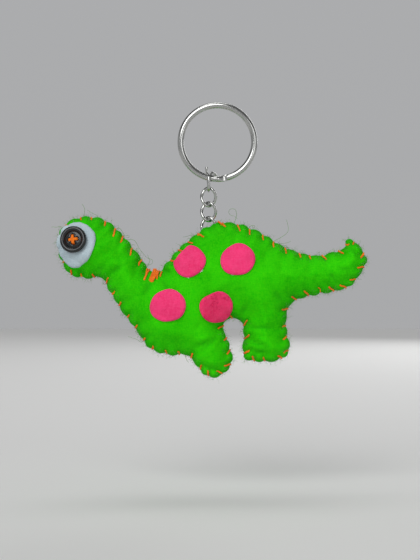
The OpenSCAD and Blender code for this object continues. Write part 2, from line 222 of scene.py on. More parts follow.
class Nodes:
    """Adds the few kinds of node used here to one node tree."""

    def __init__(self, tree):
        self.tree = tree

    def feed(self, socket, value):
        """Sets a plain value on a socket, or links another node's output to it."""
        if isinstance(value, (int, float, tuple)):
            socket.default_value = value
        else:
            self.tree.links.new(value, socket)

    def maths(self, operation, a, b=0.0):
        node = self.tree.nodes.new("ShaderNodeMath")
        node.operation = operation
        self.feed(node.inputs[0], a)
        self.feed(node.inputs[1], b)
        return node.outputs[0]

    def plus(self, a, b):
        return self.maths("ADD", a, b)

    def less(self, a, b):
        return self.maths("SUBTRACT", a, b)

    def times(self, a, b):
        return self.maths("MULTIPLY", a, b)

    def blend(self, share, a, b):
        """Colour a where the share is 0, and b where it is 1."""
        node = self.tree.nodes.new("ShaderNodeMix")
        node.data_type = "RGBA"
        for socket, value in (("Factor", share), (6, a), (7, b)):
            self.feed(node.inputs[socket], value)
        return node.outputs[2]

    def spread(self, value, low, high):
        """Stretches the middle of a noise to the range 0 to 1."""
        node = self.tree.nodes.new("ShaderNodeMapRange")
        for socket, given in (("From Min", low), ("From Max", high), ("Value", value)):
            self.feed(node.inputs[socket], given)
        return node.outputs[0]

    def noise(self, place, scale, detail=3.0, rough=0.55, stretch=None):
        """The value of a noise on object coordinates, stretched if asked."""
        if stretch:
            mapping = self.tree.nodes.new("ShaderNodeMapping")
            mapping.inputs["Scale"].default_value = stretch
            self.feed(mapping.inputs["Vector"], place)
            place = mapping.outputs[0]
        node = self.tree.nodes.new("ShaderNodeTexNoise")
        for socket, given in (("Scale", scale), ("Detail", detail), ("Roughness", rough), ("Vector", place)):
            self.feed(node.inputs[socket], given)
        return node.outputs["Fac"]


GREY = (0.5, 0.5, 0.5, 1)


def new_group(name, inputs, outputs):
    """A shader node group with {input: default}, where a tuple is a colour, and its output names."""
    group = bpy.data.node_groups.new(name, "ShaderNodeTree")
    for label, default in inputs.items():
        kind = "NodeSocketColor" if isinstance(default, tuple) else "NodeSocketFloat"
        group.interface.new_socket(label, in_out="INPUT", socket_type=kind).default_value = default
    for label in outputs:
        kind = "NodeSocketColor" if label == "Colour" else "NodeSocketFloat"
        group.interface.new_socket(label, in_out="OUTPUT", socket_type=kind)
    given = group.nodes.new("NodeGroupInput").outputs
    place = group.nodes.new("ShaderNodeTexCoord").outputs["Object"]
    return group, Nodes(group), given, place, group.nodes.new("NodeGroupOutput").inputs


def felt_group():
    """Needled wool felt: matted fibres lying every way, faint blotches, a soft pile, and thin creases with
    painted shade in them.
    """
    colours = {"Mid": GREY, "Deep": GREY, "Pale": GREY, "Creasing": 0.0}
    group, add, given, place, out = new_group("matted_felt", colours, ("Colour", "Height", "Roughness"))
    blotch = add.spread(add.noise(place, 95), 0.34, 0.68)
    lie = [add.noise(place, 520, 4.0, 0.7, way) for way in ((1, 1, 5.5), (5.5, 1, 1), (3.2, 1, 3.2))]
    matted = add.times(add.plus(add.plus(lie[0], lie[1]), lie[2]), 1 / 3)
    fine = add.noise(place, 2600, 2.0, 0.6)
    base = add.blend(blotch, given["Deep"], given["Mid"])
    lit = add.blend(add.times(add.spread(matted, 0.40, 0.62), 0.45), base, given["Pale"])
    wander = add.noise(place, 210, 3.0, 0.6)
    line = add.spread(add.maths("ABSOLUTE", add.less(wander, 0.5)), 0.022, 0.0)
    patchy = add.spread(add.noise(place, 150, 2.0), 0.42, 0.60)
    crease = add.times(add.times(line, patchy), given["Creasing"])
    # Thin crease lines: dented in the height and, scaled by Creasing, given painted shade in the Deep colour
    add.feed(out["Colour"], add.blend(crease, lit, given["Deep"]))
    wrinkle = add.noise(place, 150, 3.0, 0.6, (0.3, 0.3, 2.4))
    pile = add.plus(add.times(matted, 0.5), add.times(fine, 0.15))
    folded = add.plus(pile, add.times(wrinkle, 0.5))
    add.feed(out["Height"], add.less(folded, add.times(crease, 0.25)))
    add.feed(out["Roughness"], add.plus(add.times(fine, 0.12), 0.84))
    return group


def wear_group():
    """Handled plating or plastic: fine scratches and a few dull patches."""
    looks = {"Base": GREY, "Dull": GREY, "Smooth": 0.15, "Rough": 0.35}
    group, add, given, place, out = new_group("handling_wear", looks, ("Colour", "Roughness", "Height"))
    patches = add.spread(add.noise(place, 230, 4.0, 0.6), 0.45, 0.72)
    scratches = add.spread(add.noise(place, 420, 5.0, 0.7, (1, 5, 1)), 0.52, 0.68)
    mark = add.maths("MAXIMUM", add.times(patches, 0.4), add.times(scratches, 0.12))
    add.feed(out["Colour"], add.blend(mark, given["Base"], given["Dull"]))
    gap = add.less(given["Rough"], given["Smooth"])
    add.feed(out["Roughness"], add.plus(given["Smooth"], add.times(gap, mark)))
    add.feed(out["Height"], add.noise(place, 380, 4.0))
    return group


def strand_group():
    """Loose cotton fibres along a twisted strand."""
    colours = {"Mid": GREY, "Deep": GREY}
    group, add, given, place, out = new_group("cotton_strand", colours, ("Colour", "Height"))
    fibres = add.noise(place, 2300, 3.0, 0.65, (1, 1, 2.5))
    tone = add.spread(add.noise(place, 420, 2.0), 0.35, 0.65)
    shade = add.times(add.plus(add.spread(fibres, 0.35, 0.6), tone), 0.5)
    add.feed(out["Colour"], add.blend(shade, given["Deep"], given["Mid"]))
    add.feed(out["Height"], fibres)
    return group


def felt_numbers(*tint):
    """Constants of a felt's shader, with its sheen's tint if it has one."""
    numbers = {"Sheen Weight": 0.05, "Sheen Roughness": 0.5, "Specular IOR Level": 0.03}
    if tint:
        numbers["Sheen Tint"] = tint
    return numbers


# Painted shade: the green felt's colour at the seam, the stitches, the puckers and the creases
PAINTED_SHADE_GREEN = (0.012, 0.27, 0.004)
# Finishes: material name, group, group inputs, shader constants, and bump strength and distance
FINISHES = {
    "body_felt": [
        "green_felt", "felt",
        {"Mid": (0.022, 0.61, 0.002), "Deep": (0.008, 0.45, 0.001), "Pale": (0.09, 0.77, 0.004)},
        felt_numbers(0.2, 1.0, 0.1), 0.6, 0.6],
    # Creasing sets the painted shade in the pink felts' crease lines; the belly spot's rubbed felt has the
    # most
    "spot_felt": [
        "pink_felt", "felt",
        {"Mid": (0.96, 0.040, 0.19), "Deep": (0.74, 0.022, 0.12),
         "Pale": (1.0, 0.12, 0.31), "Creasing": 0.45},
        felt_numbers(1.0, 0.55, 0.7), 0.5, 0.3],
    "rubbed_felt_and_crease_shade": [
        "rubbed_pink_felt", "felt",
        {"Mid": (1.0, 0.036, 0.165), "Deep": (0.68, 0.014, 0.085),
         "Pale": (1.0, 0.11, 0.27), "Creasing": 0.85},
        felt_numbers(1.0, 0.5, 0.6), 0.8, 0.45],
    "eye_felt": [
        "white_felt", "felt",
        {"Mid": (0.46, 0.56, 0.60), "Deep": (0.37, 0.47, 0.52), "Pale": (0.61, 0.70, 0.75)},
        felt_numbers(1.0, 1.0, 1.0), 0.45, 0.3],
    "fibrefill": [
        "fibrefill", "felt",
        {"Mid": (0.82, 0.82, 0.80), "Deep": (0.70, 0.70, 0.68), "Pale": (0.93, 0.93, 0.92)},
        felt_numbers(), 1.0, 0.8],
    "floss": [
        "orange_floss", "strand", {"Mid": (0.95, 0.23, 0.006), "Deep": (0.72, 0.10, 0.003)},
        {"Roughness": 0.6, "Sheen Weight": 0.08, "Specular IOR Level": 0.2}, 0.5, 0.12],
    "fuzz": [
        "loose_green_fibre", "strand", {"Mid": (0.10, 0.36, 0.012), "Deep": (0.05, 0.16, 0.006)},
        {"Roughness": 0.8, "Sheen Weight": 0.4}, 0.2, 0.05],
    "nickel": [
        "nickel_plate", "wear",
        {"Base": (0.50, 0.505, 0.49), "Dull": (0.34, 0.345, 0.33), "Smooth": 0.15, "Rough": 0.30},
        {"Metallic": 1.0}, 0.01, 0.03],
    "black_button": [
        "black_resin", "wear",
        {"Base": (0.009, 0.012, 0.013), "Dull": (0.016, 0.020, 0.021), "Smooth": 0.20, "Rough": 0.32},
        {"Specular IOR Level": 0.45}, 0.03, 0.05],
    "glue": [
        "dried_glue", "wear",
        {"Base": (0.86, 0.80, 0.80), "Dull": (0.72, 0.62, 0.62), "Smooth": 0.2, "Rough": 0.4},
        {"Coat Weight": 0.4}, 0.3, 0.08],
}


def set_inputs(node, values):
    """Sets constants on a node's own sockets, where a tuple is a colour without its alpha."""
    for label, value in values.items():
        node.inputs[label].default_value = value + (1,) if isinstance(value, tuple) else value


def finish_material(name, group, values, numbers, strength, distance):
    """A Principled material fed by one of the shared groups."""
    material = bpy.data.materials.new(name)
    material.use_nodes = True
    tree = material.node_tree
    add, shader = Nodes(tree), tree.nodes["Principled BSDF"]
    detail = tree.nodes.new("ShaderNodeGroup")
    detail.node_tree = group
    set_inputs(detail, values)
    colour = detail.outputs["Colour"]
    if name == "green_felt":  # painted shade: darker at the seam, along the stitches, in the puckers and in the creases
        shade = tree.nodes.new("ShaderNodeAttribute")
        shade.attribute_name = "painted_shade"
        colour = add.blend(shade.outputs["Fac"], colour, PAINTED_SHADE_GREEN + (1,))
    add.feed(shader.inputs["Base Color"], colour)
    if "Roughness" in detail.outputs:
        add.feed(shader.inputs["Roughness"], detail.outputs["Roughness"])
    relief = tree.nodes.new("ShaderNodeBump")
    set_inputs(relief, {"Strength": strength, "Distance": distance * MM})
    add.feed(relief.inputs["Height"], detail.outputs["Height"])
    add.feed(shader.inputs["Normal"], relief.outputs["Normal"])
    set_inputs(shader, numbers)
    return material


def make_materials():
    groups = {"felt": felt_group(), "wear": wear_group(), "strand": strand_group()}
    return {key: finish_material(name, groups[kind], *rest) for key, (name, kind, *rest) in FINISHES.items()}


# ---------------------------------------------------------------- mesh helpers


def new_piece(name, skin, finish, replaces=(), subdivide=0, body="toy"):
    """A mesh piece from (points, faces) in millimetres, which rides on a body."""
    points, faces = skin
    mesh = bpy.data.meshes.new(name)
    mesh.from_pydata((np.asarray(points, float) * MM).tolist(), [], [list(map(int, f)) for f in faces])
    tidy = bmesh.new()
    tidy.from_mesh(mesh)
    bmesh.ops.recalc_face_normals(tidy, faces=tidy.faces)
    tidy.to_mesh(mesh)
    tidy.free()
    mesh.shade_smooth()
    mesh.materials.append(MATERIALS[finish])
    piece = put(name, mesh)
    if subdivide:
        smooth = piece.modifiers.new("smooth", "SUBSURF")
        smooth.levels = smooth.render_levels = subdivide
    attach(piece, body)
    if replaces:
        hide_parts(*replaces)
    return piece


def join(parts):
    """Points and faces of several meshes as one."""
    points, faces, base = [], [], 0
    for p, f in parts:
        points.append(np.asarray(p, float))
        faces += [[i + base for i in face] for face in f]
        base += len(p)
    return np.vstack(points), faces


def smooth_path(points, per_span=6, closed=False):
    """A Catmull-Rom curve through a few points."""
    p = np.asarray(points, float)
    n = len(p)
    out = []
    for i in range(n if closed else n - 1):
        if closed:
            a, b, c, d = p[(i - 1) % n], p[i], p[(i + 1) % n], p[(i + 2) % n]
        else:
            a, b, c, d = p[max(i - 1, 0)], p[i], p[i + 1], p[min(i + 2, n - 1)]
        for s in range(per_span):
            t = s / per_span
            bend = (2 * a - 5 * b + 4 * c - d) * t * t + (3 * b - a - 3 * c + d) * t ** 3
            out.append(0.5 * (2 * b + (c - a) * t + bend))
    if not closed:
        out.append(p[-1])
    return np.array(out)


def frames_along(path, closed):
    """Directions and carried normals along a path, closed without a jump where it is a loop."""
    if closed:
        ahead = np.roll(path, -1, 0) - np.roll(path, 1, 0)
    else:
        ahead = np.gradient(path, axis=0)
    ahead = ahead / np.linalg.norm(ahead, axis=1, keepdims=True)
    first = np.cross(ahead[0], [0, 0, 1.0] if abs(ahead[0][2]) < 0.9 else [0, 1.0, 0])
    normals = [first / np.linalg.norm(first)]
    for d in ahead[1:]:
        carried = normals[-1] - d * np.dot(normals[-1], d)
        normals.append(carried / np.linalg.norm(carried))
    normals = np.array(normals)
    if closed:
        last = normals[-1] - ahead[0] * np.dot(normals[-1], ahead[0])
        side = np.cross(ahead[0], normals[0])
        slip = math.atan2(np.dot(last, side), np.dot(last, normals[0]))
        turn = -slip * np.arange(len(path)) / len(path)
        sides = np.cross(ahead, normals)
        normals = normals * np.cos(turn)[:, None] + sides * np.sin(turn)[:, None]
    return ahead, normals


LOBES, LOBE_DEPTH, TWIST = 3, 0.13, 2.1  # strands of the floss, how deep they show, and radians a mm


def rod(path, radius, sides=16, closed=False, twisted=False, taper=0.0):
    """A closed skin round a path: plain wire or fibre, or twisted floss."""
    path = np.asarray(path, float)
    ahead, normals = frames_along(path, closed)
    across = np.cross(ahead, normals)
    run = np.cumsum(np.linalg.norm(np.diff(path, axis=0, prepend=path[:1]), axis=1))
    turn = np.arange(sides) * 2 * math.pi / sides
    radii = radius * (1 - taper * run / run[-1])
    points = []
    for i, centre in enumerate(path):
        wave = 1 - LOBE_DEPTH + LOBE_DEPTH * np.cos(LOBES * turn + TWIST * run[i])
        lobed = wave if twisted else np.ones(sides)
        local = np.stack([np.cos(turn) * lobed, np.sin(turn) * lobed], 1) * radii[i]
        points.append(centre + local[:, :1] * normals[i] + local[:, 1:] * across[i])
    rows = [np.arange(i * sides, (i + 1) * sides) for i in range(len(path))]
    faces = bands(rows + rows[:1] if closed else rows)
    if not closed:
        for end, way in ((0, -1), (len(path) - 1, 1)):
            base = sum(len(p) for p in points)
            tip = ahead[end] * way * radii[end]
            points.append(points[end] * 0.6 + path[end] * 0.4 + tip * 0.55)
            points.append([path[end] + tip * 0.75])
            dome = np.arange(base, base + sides)
            faces += bands([rows[end], dome])
            faces += [[dome[k], dome[(k + 1) % sides], base + sides] for k in range(sides)]
    return np.vstack(points), faces


def bands(rows):
    """Faces between rings of points, each given by its points' numbers."""
    return [
        [a[k], a[(k + 1) % len(a)], b[(k + 1) % len(a)], b[k]]
        for a, b in zip(rows[:-1], rows[1:]) for k in range(len(a))
    ]


def floss(path, radius=FLOSS_R, closed=False):
    return rod(path, radius, 12, closed, twisted=True)


# ---------------------------------------------------------------- outline and stitches


def resample(ring, pitch):
    """Points at an equal pitch round a closed curve, and its whole length."""
    loop = np.vstack([ring, ring[:1]])
    run = np.concatenate([[0], np.cumsum(np.linalg.norm(np.diff(loop, axis=0), axis=1))])
    count = int(round(run[-1] / pitch))
    at = np.linspace(0, run[-1], count, endpoint=False)
    return np.stack([np.interp(at, run, loop[:, k]) for k in (0, 1)], 1), run[-1]


EDGE_PITCH = 0.8
STITCH_PITCH = 5.0

smooth_edge, PERIMETER = resample(smooth_path(np.array(PATTERN) * SCALE, 12, closed=True), EDGE_PITCH)
EDGE_N = len(smooth_edge)
edge_ahead = np.roll(smooth_edge, -1, 0) - np.roll(smooth_edge, 1, 0)
edge_ahead /= np.linalg.norm(edge_ahead, axis=1, keepdims=True)
edge_inward = np.stack([edge_ahead[:, 1], -edge_ahead[:, 0]], 1)


def edge_index(run):
    return int(round(run / PERIMETER * EDGE_N)) % EDGE_N


def nearest_on_edge(place):
    """Number of the point of the smooth edge nearest a place."""
    return int(np.linalg.norm(smooth_edge - place, axis=1).argmin())


def plan_stitches():
    """Runs along the edge where the whip stitches cross it, uneven as sewn by hand."""
    count = int(PERIMETER / STITCH_PITCH)
    runs = np.arange(count) * PERIMETER / count + rng.uniform(-0.75, 0.75, count)
    return np.sort(runs % PERIMETER)


STITCHES = plan_stitches()


def scalloped_edge():
    """The felt's edge: it swells a little between stitches and is drawn in at each."""
    run = np.arange(EDGE_N) * PERIMETER / EDGE_N
    after = np.searchsorted(STITCHES, run, side="right")
    low = np.where(after == 0, STITCHES[-1] - PERIMETER, STITCHES[after - 1])
    high = np.where(after == len(STITCHES), STITCHES[0] + PERIMETER, STITCHES[after % len(STITCHES)])
    share = (run - low) / (high - low)
    swell = rng.uniform(0.65, 1.25, len(STITCHES) + 1)[after]
    bulge = np.abs(np.sin(math.pi * share)) ** 0.65
    out = (bulge * 1.15 - 0.75) * swell
    bend = (np.roll(edge_ahead, -4, 0) - np.roll(edge_ahead, 4, 0)) / (8 * EDGE_PITCH)
    hollow = np.clip(-4 * (bend * edge_inward).sum(1), 0, 1)
    out = out * (1 - 0.8 * hollow)
    return smooth_edge - edge_inward * out[:, None], bulge


edge, edge_bulge = scalloped_edge()

# ---------------------------------------------------------------- stuffed body

GRID = 1.05  # spacing of the panel's inner points
EDGE_HALF = 1.0  # half the thickness of the two felt edges where they are sewn
PUFF_LIMIT = 15.5
# Places stuffed harder than their width alone would make them: x, z, reach and gain
FIRM = [[-46.5, -6.8, 8.5, 0.30], [0, -21, 22, 0.04]]
# Creases pressed into both panels: from (x, z), to (x, z), depth and width
CREASES = [
    [-37.2, -17.6, -31.5, -13.6, 0.9, 1.2], [-50.5, -15.6, -45.8, -17.4, 0.9, 0.9],
    [-42.5, -15.8, -37.5, -14.6, 0.5, 1.1], [-2.4, -45.2, 3.4, -40.3, 0.75, 1.1],
    [-2.8, -51.6, 4.2, -52.8, 0.8, 1.0], [14.6, -41.4, 21.6, -44.4, 1.1, 0.8],
    [15.2, -37.0, 24.5, -37.3, 0.7, 0.9], [16, -45.6, 23, -46.8, 0.6, 0.9],
    [-4.5, -44.2, 0.5, -41.4, 0.6, 0.9], [52.4, -6.9, 56.4, -10.6, 1.5, 0.8],
    [52.6, -15.8, 48.2, -14.6, 0.6, 1.0], [47.2, -19.6, 44.6, -16.6, 0.6, 1.1],
    [-21.5, -19.5, -23.5, -24.5, 0.7, 1.6], [-17.5, -19.5, -14.5, -23.5, 0.45, 1.5],
    [27.5, -27.5, 24, -23.5, 0.6, 1.6], [11.5, -32.8, 14, -28.5, 0.45, 1.5],
    [6.2, -34.5, 3.4, -36.8, 0.4, 1.4],
]


def inside_edge(points):
    """Whether each point lies inside the edge, by counting crossings."""
    x, z = points[:, 0][:, None], points[:, 1][:, None]
    a, b = edge, np.roll(edge, -1, 0)
    spans = (a[:, 1] > z) != (b[:, 1] > z)
    rise = np.where(np.abs(b[:, 1] - a[:, 1]) < 1e-9, 1e-9, b[:, 1] - a[:, 1])
    cross_x = a[:, 0] + (z - a[:, 1]) * (b[:, 0] - a[:, 0]) / rise
    return (spans & (x < cross_x)).sum(1) % 2 == 1


def segment_gap(points, a, b):
    """Distance of points from the segment a to b, and how far along it they lie (0 to 1)."""
    a, b = np.asarray(a, float), np.asarray(b, float)
    along = np.clip(((points - a) @ (b - a)) / max(np.dot(b - a, b - a), 1e-9), 0, 1)
    return np.linalg.norm(points - (a + along[:, None] * (b - a)), axis=1), along


def layout():
    """A flat triangle mesh of the panel, edge points first."""
    low, high = edge.min(0), edge.max(0)
    rows = np.arange(low[1], high[1], GRID * math.sqrt(3) / 2)
    dots = [
        [x, z] for r, z in enumerate(rows)
        for x in np.arange(low[0] + (GRID / 2 if r % 2 else 0), high[0], GRID)
    ]
    dots = np.array(dots)
    dots = dots[inside_edge(dots)]
    gap = np.min(np.linalg.norm(dots[:, None] - edge[None], axis=2), axis=1)
    dots = dots[gap > 0.62 * GRID]
    everything = np.vstack([edge, dots])
    sides = [(i, (i + 1) % EDGE_N) for i in range(EDGE_N)]
    found = delaunay_2d_cdt([Vector(p) for p in everything], sides, [], 1, 1e-6)
    return np.array([[p.x, p.y] for p in found[0]]), np.array(found[2])


def inflate(flat, triangles):
    """Puffed height of every point of the layout, as a stuffed bag takes it (a Poisson surface)."""
    n = len(flat)
    stiff = np.zeros((n, n))
    load = np.zeros(n)
    corners = [flat[triangles[:, k]] for k in range(3)]
    area = np.abs(np.cross(corners[1] - corners[0], corners[2] - corners[0])) / 2
    for k in range(3):
        i, j, o = triangles[:, (k + 1) % 3], triangles[:, (k + 2) % 3], corners[k]
        u, v = flat[i] - o, flat[j] - o
        cot = (u * v).sum(1) / np.maximum(np.abs(np.cross(u, v)), 1e-9) / 2
        np.add.at(stiff, (i, j), -cot)
        np.add.at(stiff, (j, i), -cot)
        np.add.at(stiff, (i, i), cot)
        np.add.at(stiff, (j, j), cot)
        np.add.at(load, triangles[:, k], area / 3)
    free = np.arange(EDGE_N, n)
    solved = np.zeros(n)
    solved[free] = np.linalg.solve(stiff[np.ix_(free, free)], load[free])
    return np.sqrt(2 * np.maximum(solved, 0))


# Stretches of the seam where the floss is drawn into the felt and less of it shows: x, z, reach and share
DRAWN_IN = [
    [-46, 4, 12, 0.12], [-46, -19, 8, 0.12], [-24, -42, 13, 0.15], [-33, -30, 10, 0.3],
    [-12, -47.5, 9, 0.25], [3, 1.5, 8, 0.6],
    [0, -52, 9, 0.5], [22, -47, 13, 0.5], [8, -41, 8, 0.45], [42, -25, 9, 0.75],
    [20, -3, 9, 0.6], [36, -10, 14, 0.45], [53.5, -6, 7, 0.08], [-10, -8, 7, 0.6], [30, -35, 6, 0.35],
]


def stitch_share(place):
    """How much of a stitch shows at a place on the edge, from 0 to 1."""
    share = 1.0
    for x, z, reach, least in DRAWN_IN:
        away = np.linalg.norm(place - np.array([x, z]) * SCALE)
        share = min(share, least + (1 - least) * min(1, (away / reach) ** 2))
    return share


def stitch_line(run, side=-1):
    """Where a stitch shows on a panel: its point on the edge and its hole, in the layout."""
    i = edge_index(run)
    jitter = random.Random(int(run * 100) + side)
    share = stitch_share(edge[i])
    depth = 0.5 + (1.25 + jitter.uniform(-0.35, 0.45)) * share
    lead = (1.5 + jitter.uniform(-0.5, 0.5)) * share * (1 if side < 0 else -0.4)
    start = edge[i] + edge_inward[i] * 0.1
    hole = edge[i] + edge_inward[i] * depth + edge_ahead[i] * lead
    return start, hole


def shape_height(flat, triangles, puff, side):
    """Height of a panel's outer face over the seam plane, with puckers, creases and the button's dent, and a
    painted-shade mask that is darkest at the seam, the stitches and the creases.
    """
    edge_gaps = np.linalg.norm(flat[:, None] - edge[None], axis=2)
    gap, nearest = edge_gaps.min(axis=1), edge_gaps.argmin(axis=1)
    gain = np.ones(len(flat)) * 0.86
    for x, z, reach, more in FIRM:
        away = np.linalg.norm(flat - np.array([x, z]) * SCALE, axis=1)
        gain += more * np.exp(-(away / reach) ** 2)
    puffed = puff * gain / np.sqrt(1 + (puff / PUFF_LIMIT) ** 2)
    ramp = 0.15 + 1.35 * gap
    soft = np.maximum(puffed, 1e-3)
    height = EDGE_HALF + (soft ** -2.5 + ramp ** -2.5) ** (-1 / 2.5)
    # Painted-shade mask, darkest at the seam; the stitches and the creases add to it below
    painted_shade = 0.55 * np.exp(-gap / 1.2)
    height += 0.45 * edge_bulge[nearest] * np.exp(-((gap - 1.1) / 1.3) ** 2)
    for run in STITCHES:
        start, hole = stitch_line(run, side)
        away, _ = segment_gap(flat, start, hole)
        near = away < 7
        dent = 0.85 * np.exp(-(away / 0.75) ** 2) + 0.5 * np.exp(-(away / 2.0) ** 2)
        height = np.where(near, height - dent * np.minimum(1, height / 3), height)
        pucker, _ = segment_gap(flat, hole, hole + (hole - start) * 1.5)
        height -= 0.28 * np.exp(-(pucker / 0.8) ** 2) * (gap > 0.8)
        painted_shade = np.maximum(painted_shade, 0.55 * np.exp(-(away / 0.7) ** 2))
    height = settle_felt(flat, triangles, height, side)
    for x0, z0, x1, z1, depth, width in CREASES:
        away, along = segment_gap(flat, np.array([x0, z0]) * SCALE, np.array([x1, z1]) * SCALE)
        fade = 0.35 + 0.65 * np.sin(math.pi * np.clip(along, 0.02, 0.98))
        height -= depth * fade * np.exp(-(away / width) ** 2)
        height += 0.45 * depth * fade * np.exp(-((away - 2.1 * width) / width) ** 2)
        painted_shade = np.maximum(painted_shade, 0.5 * fade * np.exp(-(away / (0.6 * width)) ** 2))
    lumps = random.Random(SEED + side)
    for _ in range(26):
        tilt, wave = lumps.uniform(0, math.pi), lumps.uniform(7, 20)
        phase = lumps.uniform(0, 2 * math.pi)
        across = flat @ np.array([math.cos(tilt), math.sin(tilt)])
        height += 0.055 * np.sin(2 * math.pi * across / wave + phase) * np.minimum(1, gap / 4)
    if side < 0:
        height = press_under_button(flat, height)
    return np.maximum(height, 0.5), np.clip(painted_shade, 0, 1)


SIM_SCALE = 0.02  # metres for each millimetre while the cloth settles
SIM_FRAMES = 20
SETTLE_LIMIT = 0.9  # millimetres that the felt may move as it settles


def settle_felt(flat, triangles, height, side):
    """Lets a panel settle as cloth over its filling, held at the seam and along the stitches."""
    points = np.stack([flat[:, 0], side * height, flat[:, 1]], 1) * SIM_SCALE
    order = triangles if side < 0 else triangles[:, ::-1]
    mesh = bpy.data.meshes.new("settling_felt")
    mesh.from_pydata(points.tolist(), [], order.tolist())
    felt = put("settling_felt", mesh)
    held = felt.vertex_groups.new(name="held")
    held.add(list(range(EDGE_N)), 1.0, "REPLACE")
    for run in STITCHES:
        start, hole = stitch_line(run, side)
        away, _ = segment_gap(flat, start, hole)
        held.add([int(i) for i in np.flatnonzero(away < 0.7)], 1.0, "REPLACE")
    cloth = felt.modifiers.new("cloth", "CLOTH")
    settings = cloth.settings
    settings.quality = 6
    settings.mass = 0.25
    settings.vertex_group_mass = "held"
    settings.tension_stiffness = settings.compression_stiffness = 12
    settings.shear_stiffness = 6
    settings.bending_stiffness = 0.25
    settings.shrink_min = -0.035
    settings.use_pressure = True
    settings.uniform_pressure_force = 2.0
    settings.effector_weights.gravity = 0
    cloth.collision_settings.use_collision = False
    scene = bpy.context.scene
    for count in range(1, SIM_FRAMES + 1):
        scene.frame_set(count)
    shaped = felt.evaluated_get(bpy.context.evaluated_depsgraph_get()).to_mesh()
    settled = np.array([v.co[1] for v in shaped.vertices]) * side / SIM_SCALE
    bpy.data.objects.remove(felt)
    scene.frame_set(1)
    move = np.clip(settled - height, -SETTLE_LIMIT, SETTLE_LIMIT)
    return np.maximum(height + move, 0.5)


def press_under_button(flat, height):
    """The felt is drawn flat under the button, to leave room for the eye disc."""
    base = BUTTON_BASE - HANG
    axis = BUTTON_AXIS
    room = EYE_T + GLUE_T + 0.05
    slope = ((flat[:, 0] - base[0]) * axis[0] + (flat[:, 1] - base[2]) * axis[2]) / axis[1]
    plane = -(base[1] - slope) - room
    away = np.linalg.norm(flat - np.array([base[0], base[2]]), axis=1)
    hold = np.clip((7.6 - away) / 2.4, 0, 1)
    hold = hold * hold * (3 - 2 * hold)
    edge_gap = np.min(np.linalg.norm(flat[:, None] - edge[None], axis=2), axis=1)
    hold *= np.clip((edge_gap - 0.4) / 1.8, 0, 1)
    return height + (np.minimum(height, plane) - height) * hold


def panel_skin(flat, triangles, height, side):
    """A closed felt panel: outer face, rounded cut edge and inner face."""
    n = len(flat)
    outer = np.stack([flat[:, 0], side * height, flat[:, 1]], 1)
    inside = np.maximum(0.04, height - FELT_T)
    inner = np.stack([flat[:, 0], side * inside, flat[:, 1]], 1)
    ring = np.arange(EDGE_N)
    outer[ring, 0] += edge_inward[:, 0] * 0.22
    outer[ring, 2] += edge_inward[:, 1] * 0.22
    outer[ring, 1] = side * (EDGE_HALF - 0.05)
    inner[ring, 1] = side * 0.04
    rim = []
    for out, level in ((0.0, 0.82), (0.10, 0.45), (0.02, 0.14)):
        place = edge - edge_inward * out
        rim.append(np.stack([place[:, 0], np.full(EDGE_N, side * level), place[:, 1]], 1))
    points = np.vstack([outer, inner] + rim)
    faces = [list(t) for t in triangles] + [[t[0] + n, t[2] + n, t[1] + n] for t in triangles]
    rows = [ring, 2 * n + ring, 2 * n + EDGE_N + ring, 2 * n + 2 * EDGE_N + ring, n + ring]
    faces += bands(rows)
    return points + HANG, faces


def filling_skin(flat, triangles, heights):
    """The fibre stuffing: one closed lump that fills the room between the panels."""
    n = len(flat)
    keep = FELT_T + 0.12
    front = np.stack([flat[:, 0], -np.maximum(0.02, heights[0] - keep), flat[:, 1]], 1)
    back = np.stack([flat[:, 0], np.maximum(0.02, heights[1] - keep), flat[:, 1]], 1)
    deep = [np.all(height[triangles] > keep + 0.35, axis=1) for height in heights]
    inner = deep[0] & deep[1]
    tris = triangles[inner]
    faces = [list(t) for t in tris] + [[t[0] + n, t[2] + n, t[1] + n] for t in tris]
    count = {}
    for t in tris:
        for k in range(3):
            a, b = int(t[k]), int(t[(k + 1) % 3])
            count[(a, b)] = count.get((a, b), 0) + 1
    for a, b in [e for e in count if (e[1], e[0]) not in count]:
        faces.append([b, a, a + n, b + n])
    points = np.vstack([front, back])
    used = sorted({i for f in faces for i in f})
    number = {old: new for new, old in enumerate(used)}
    return points[used] + HANG, [[number[i] for i in f] for f in faces]


class Surface:
    """The outer faces of both panels, for laying patches, floss and fibres on them."""

    def __init__(self, flat, triangles, heights):
        self.trees = {}
        for side, height in ((-1, heights[0]), (1, heights[1])):
            points = np.stack([flat[:, 0], side * height, flat[:, 1]], 1) + HANG
            self.trees[side] = BVHTree.FromPolygons(points.tolist(), triangles.tolist())

    def at(self, place, side=-1):
        """Point and outward normal on a panel over a place in the layout."""
        x, z = place[0] + HANG[0], place[1] + HANG[2]
        hit = self.trees[side].ray_cast(Vector((x, side * 60, z)), Vector((0, -side, 0)))
        if hit[0] is None:
            hit = self.trees[side].find_nearest(Vector((x, side * 1.0, z)))
        point, normal = np.array(hit[0]), np.array(hit[1])
        return point, normal if normal[1] * side > 0 else -normal

    def bridged(self, place):
        """Point and normal on the front where a patch spans the small dents instead of following them."""
        point, normal = self.at(place)
        turns = np.arange(6) * math.pi / 3
        around = [self.at(place + 1.4 * np.array([math.cos(a), math.sin(a)])) for a in turns]
        normal = 2 * normal + sum(n for _, n in around)
        point[1] = min(point[1], np.mean([p[1] for p, _ in around]))
        return point, normal / np.linalg.norm(normal)


# Stores the painted-shade mask as a point attribute, which darkens the green felt
def store_painted_shade(piece, values):
    layer = piece.data.attributes.new("painted_shade", "FLOAT", "POINT")
    layer.data.foreach_set("value", np.asarray(values, np.float32))


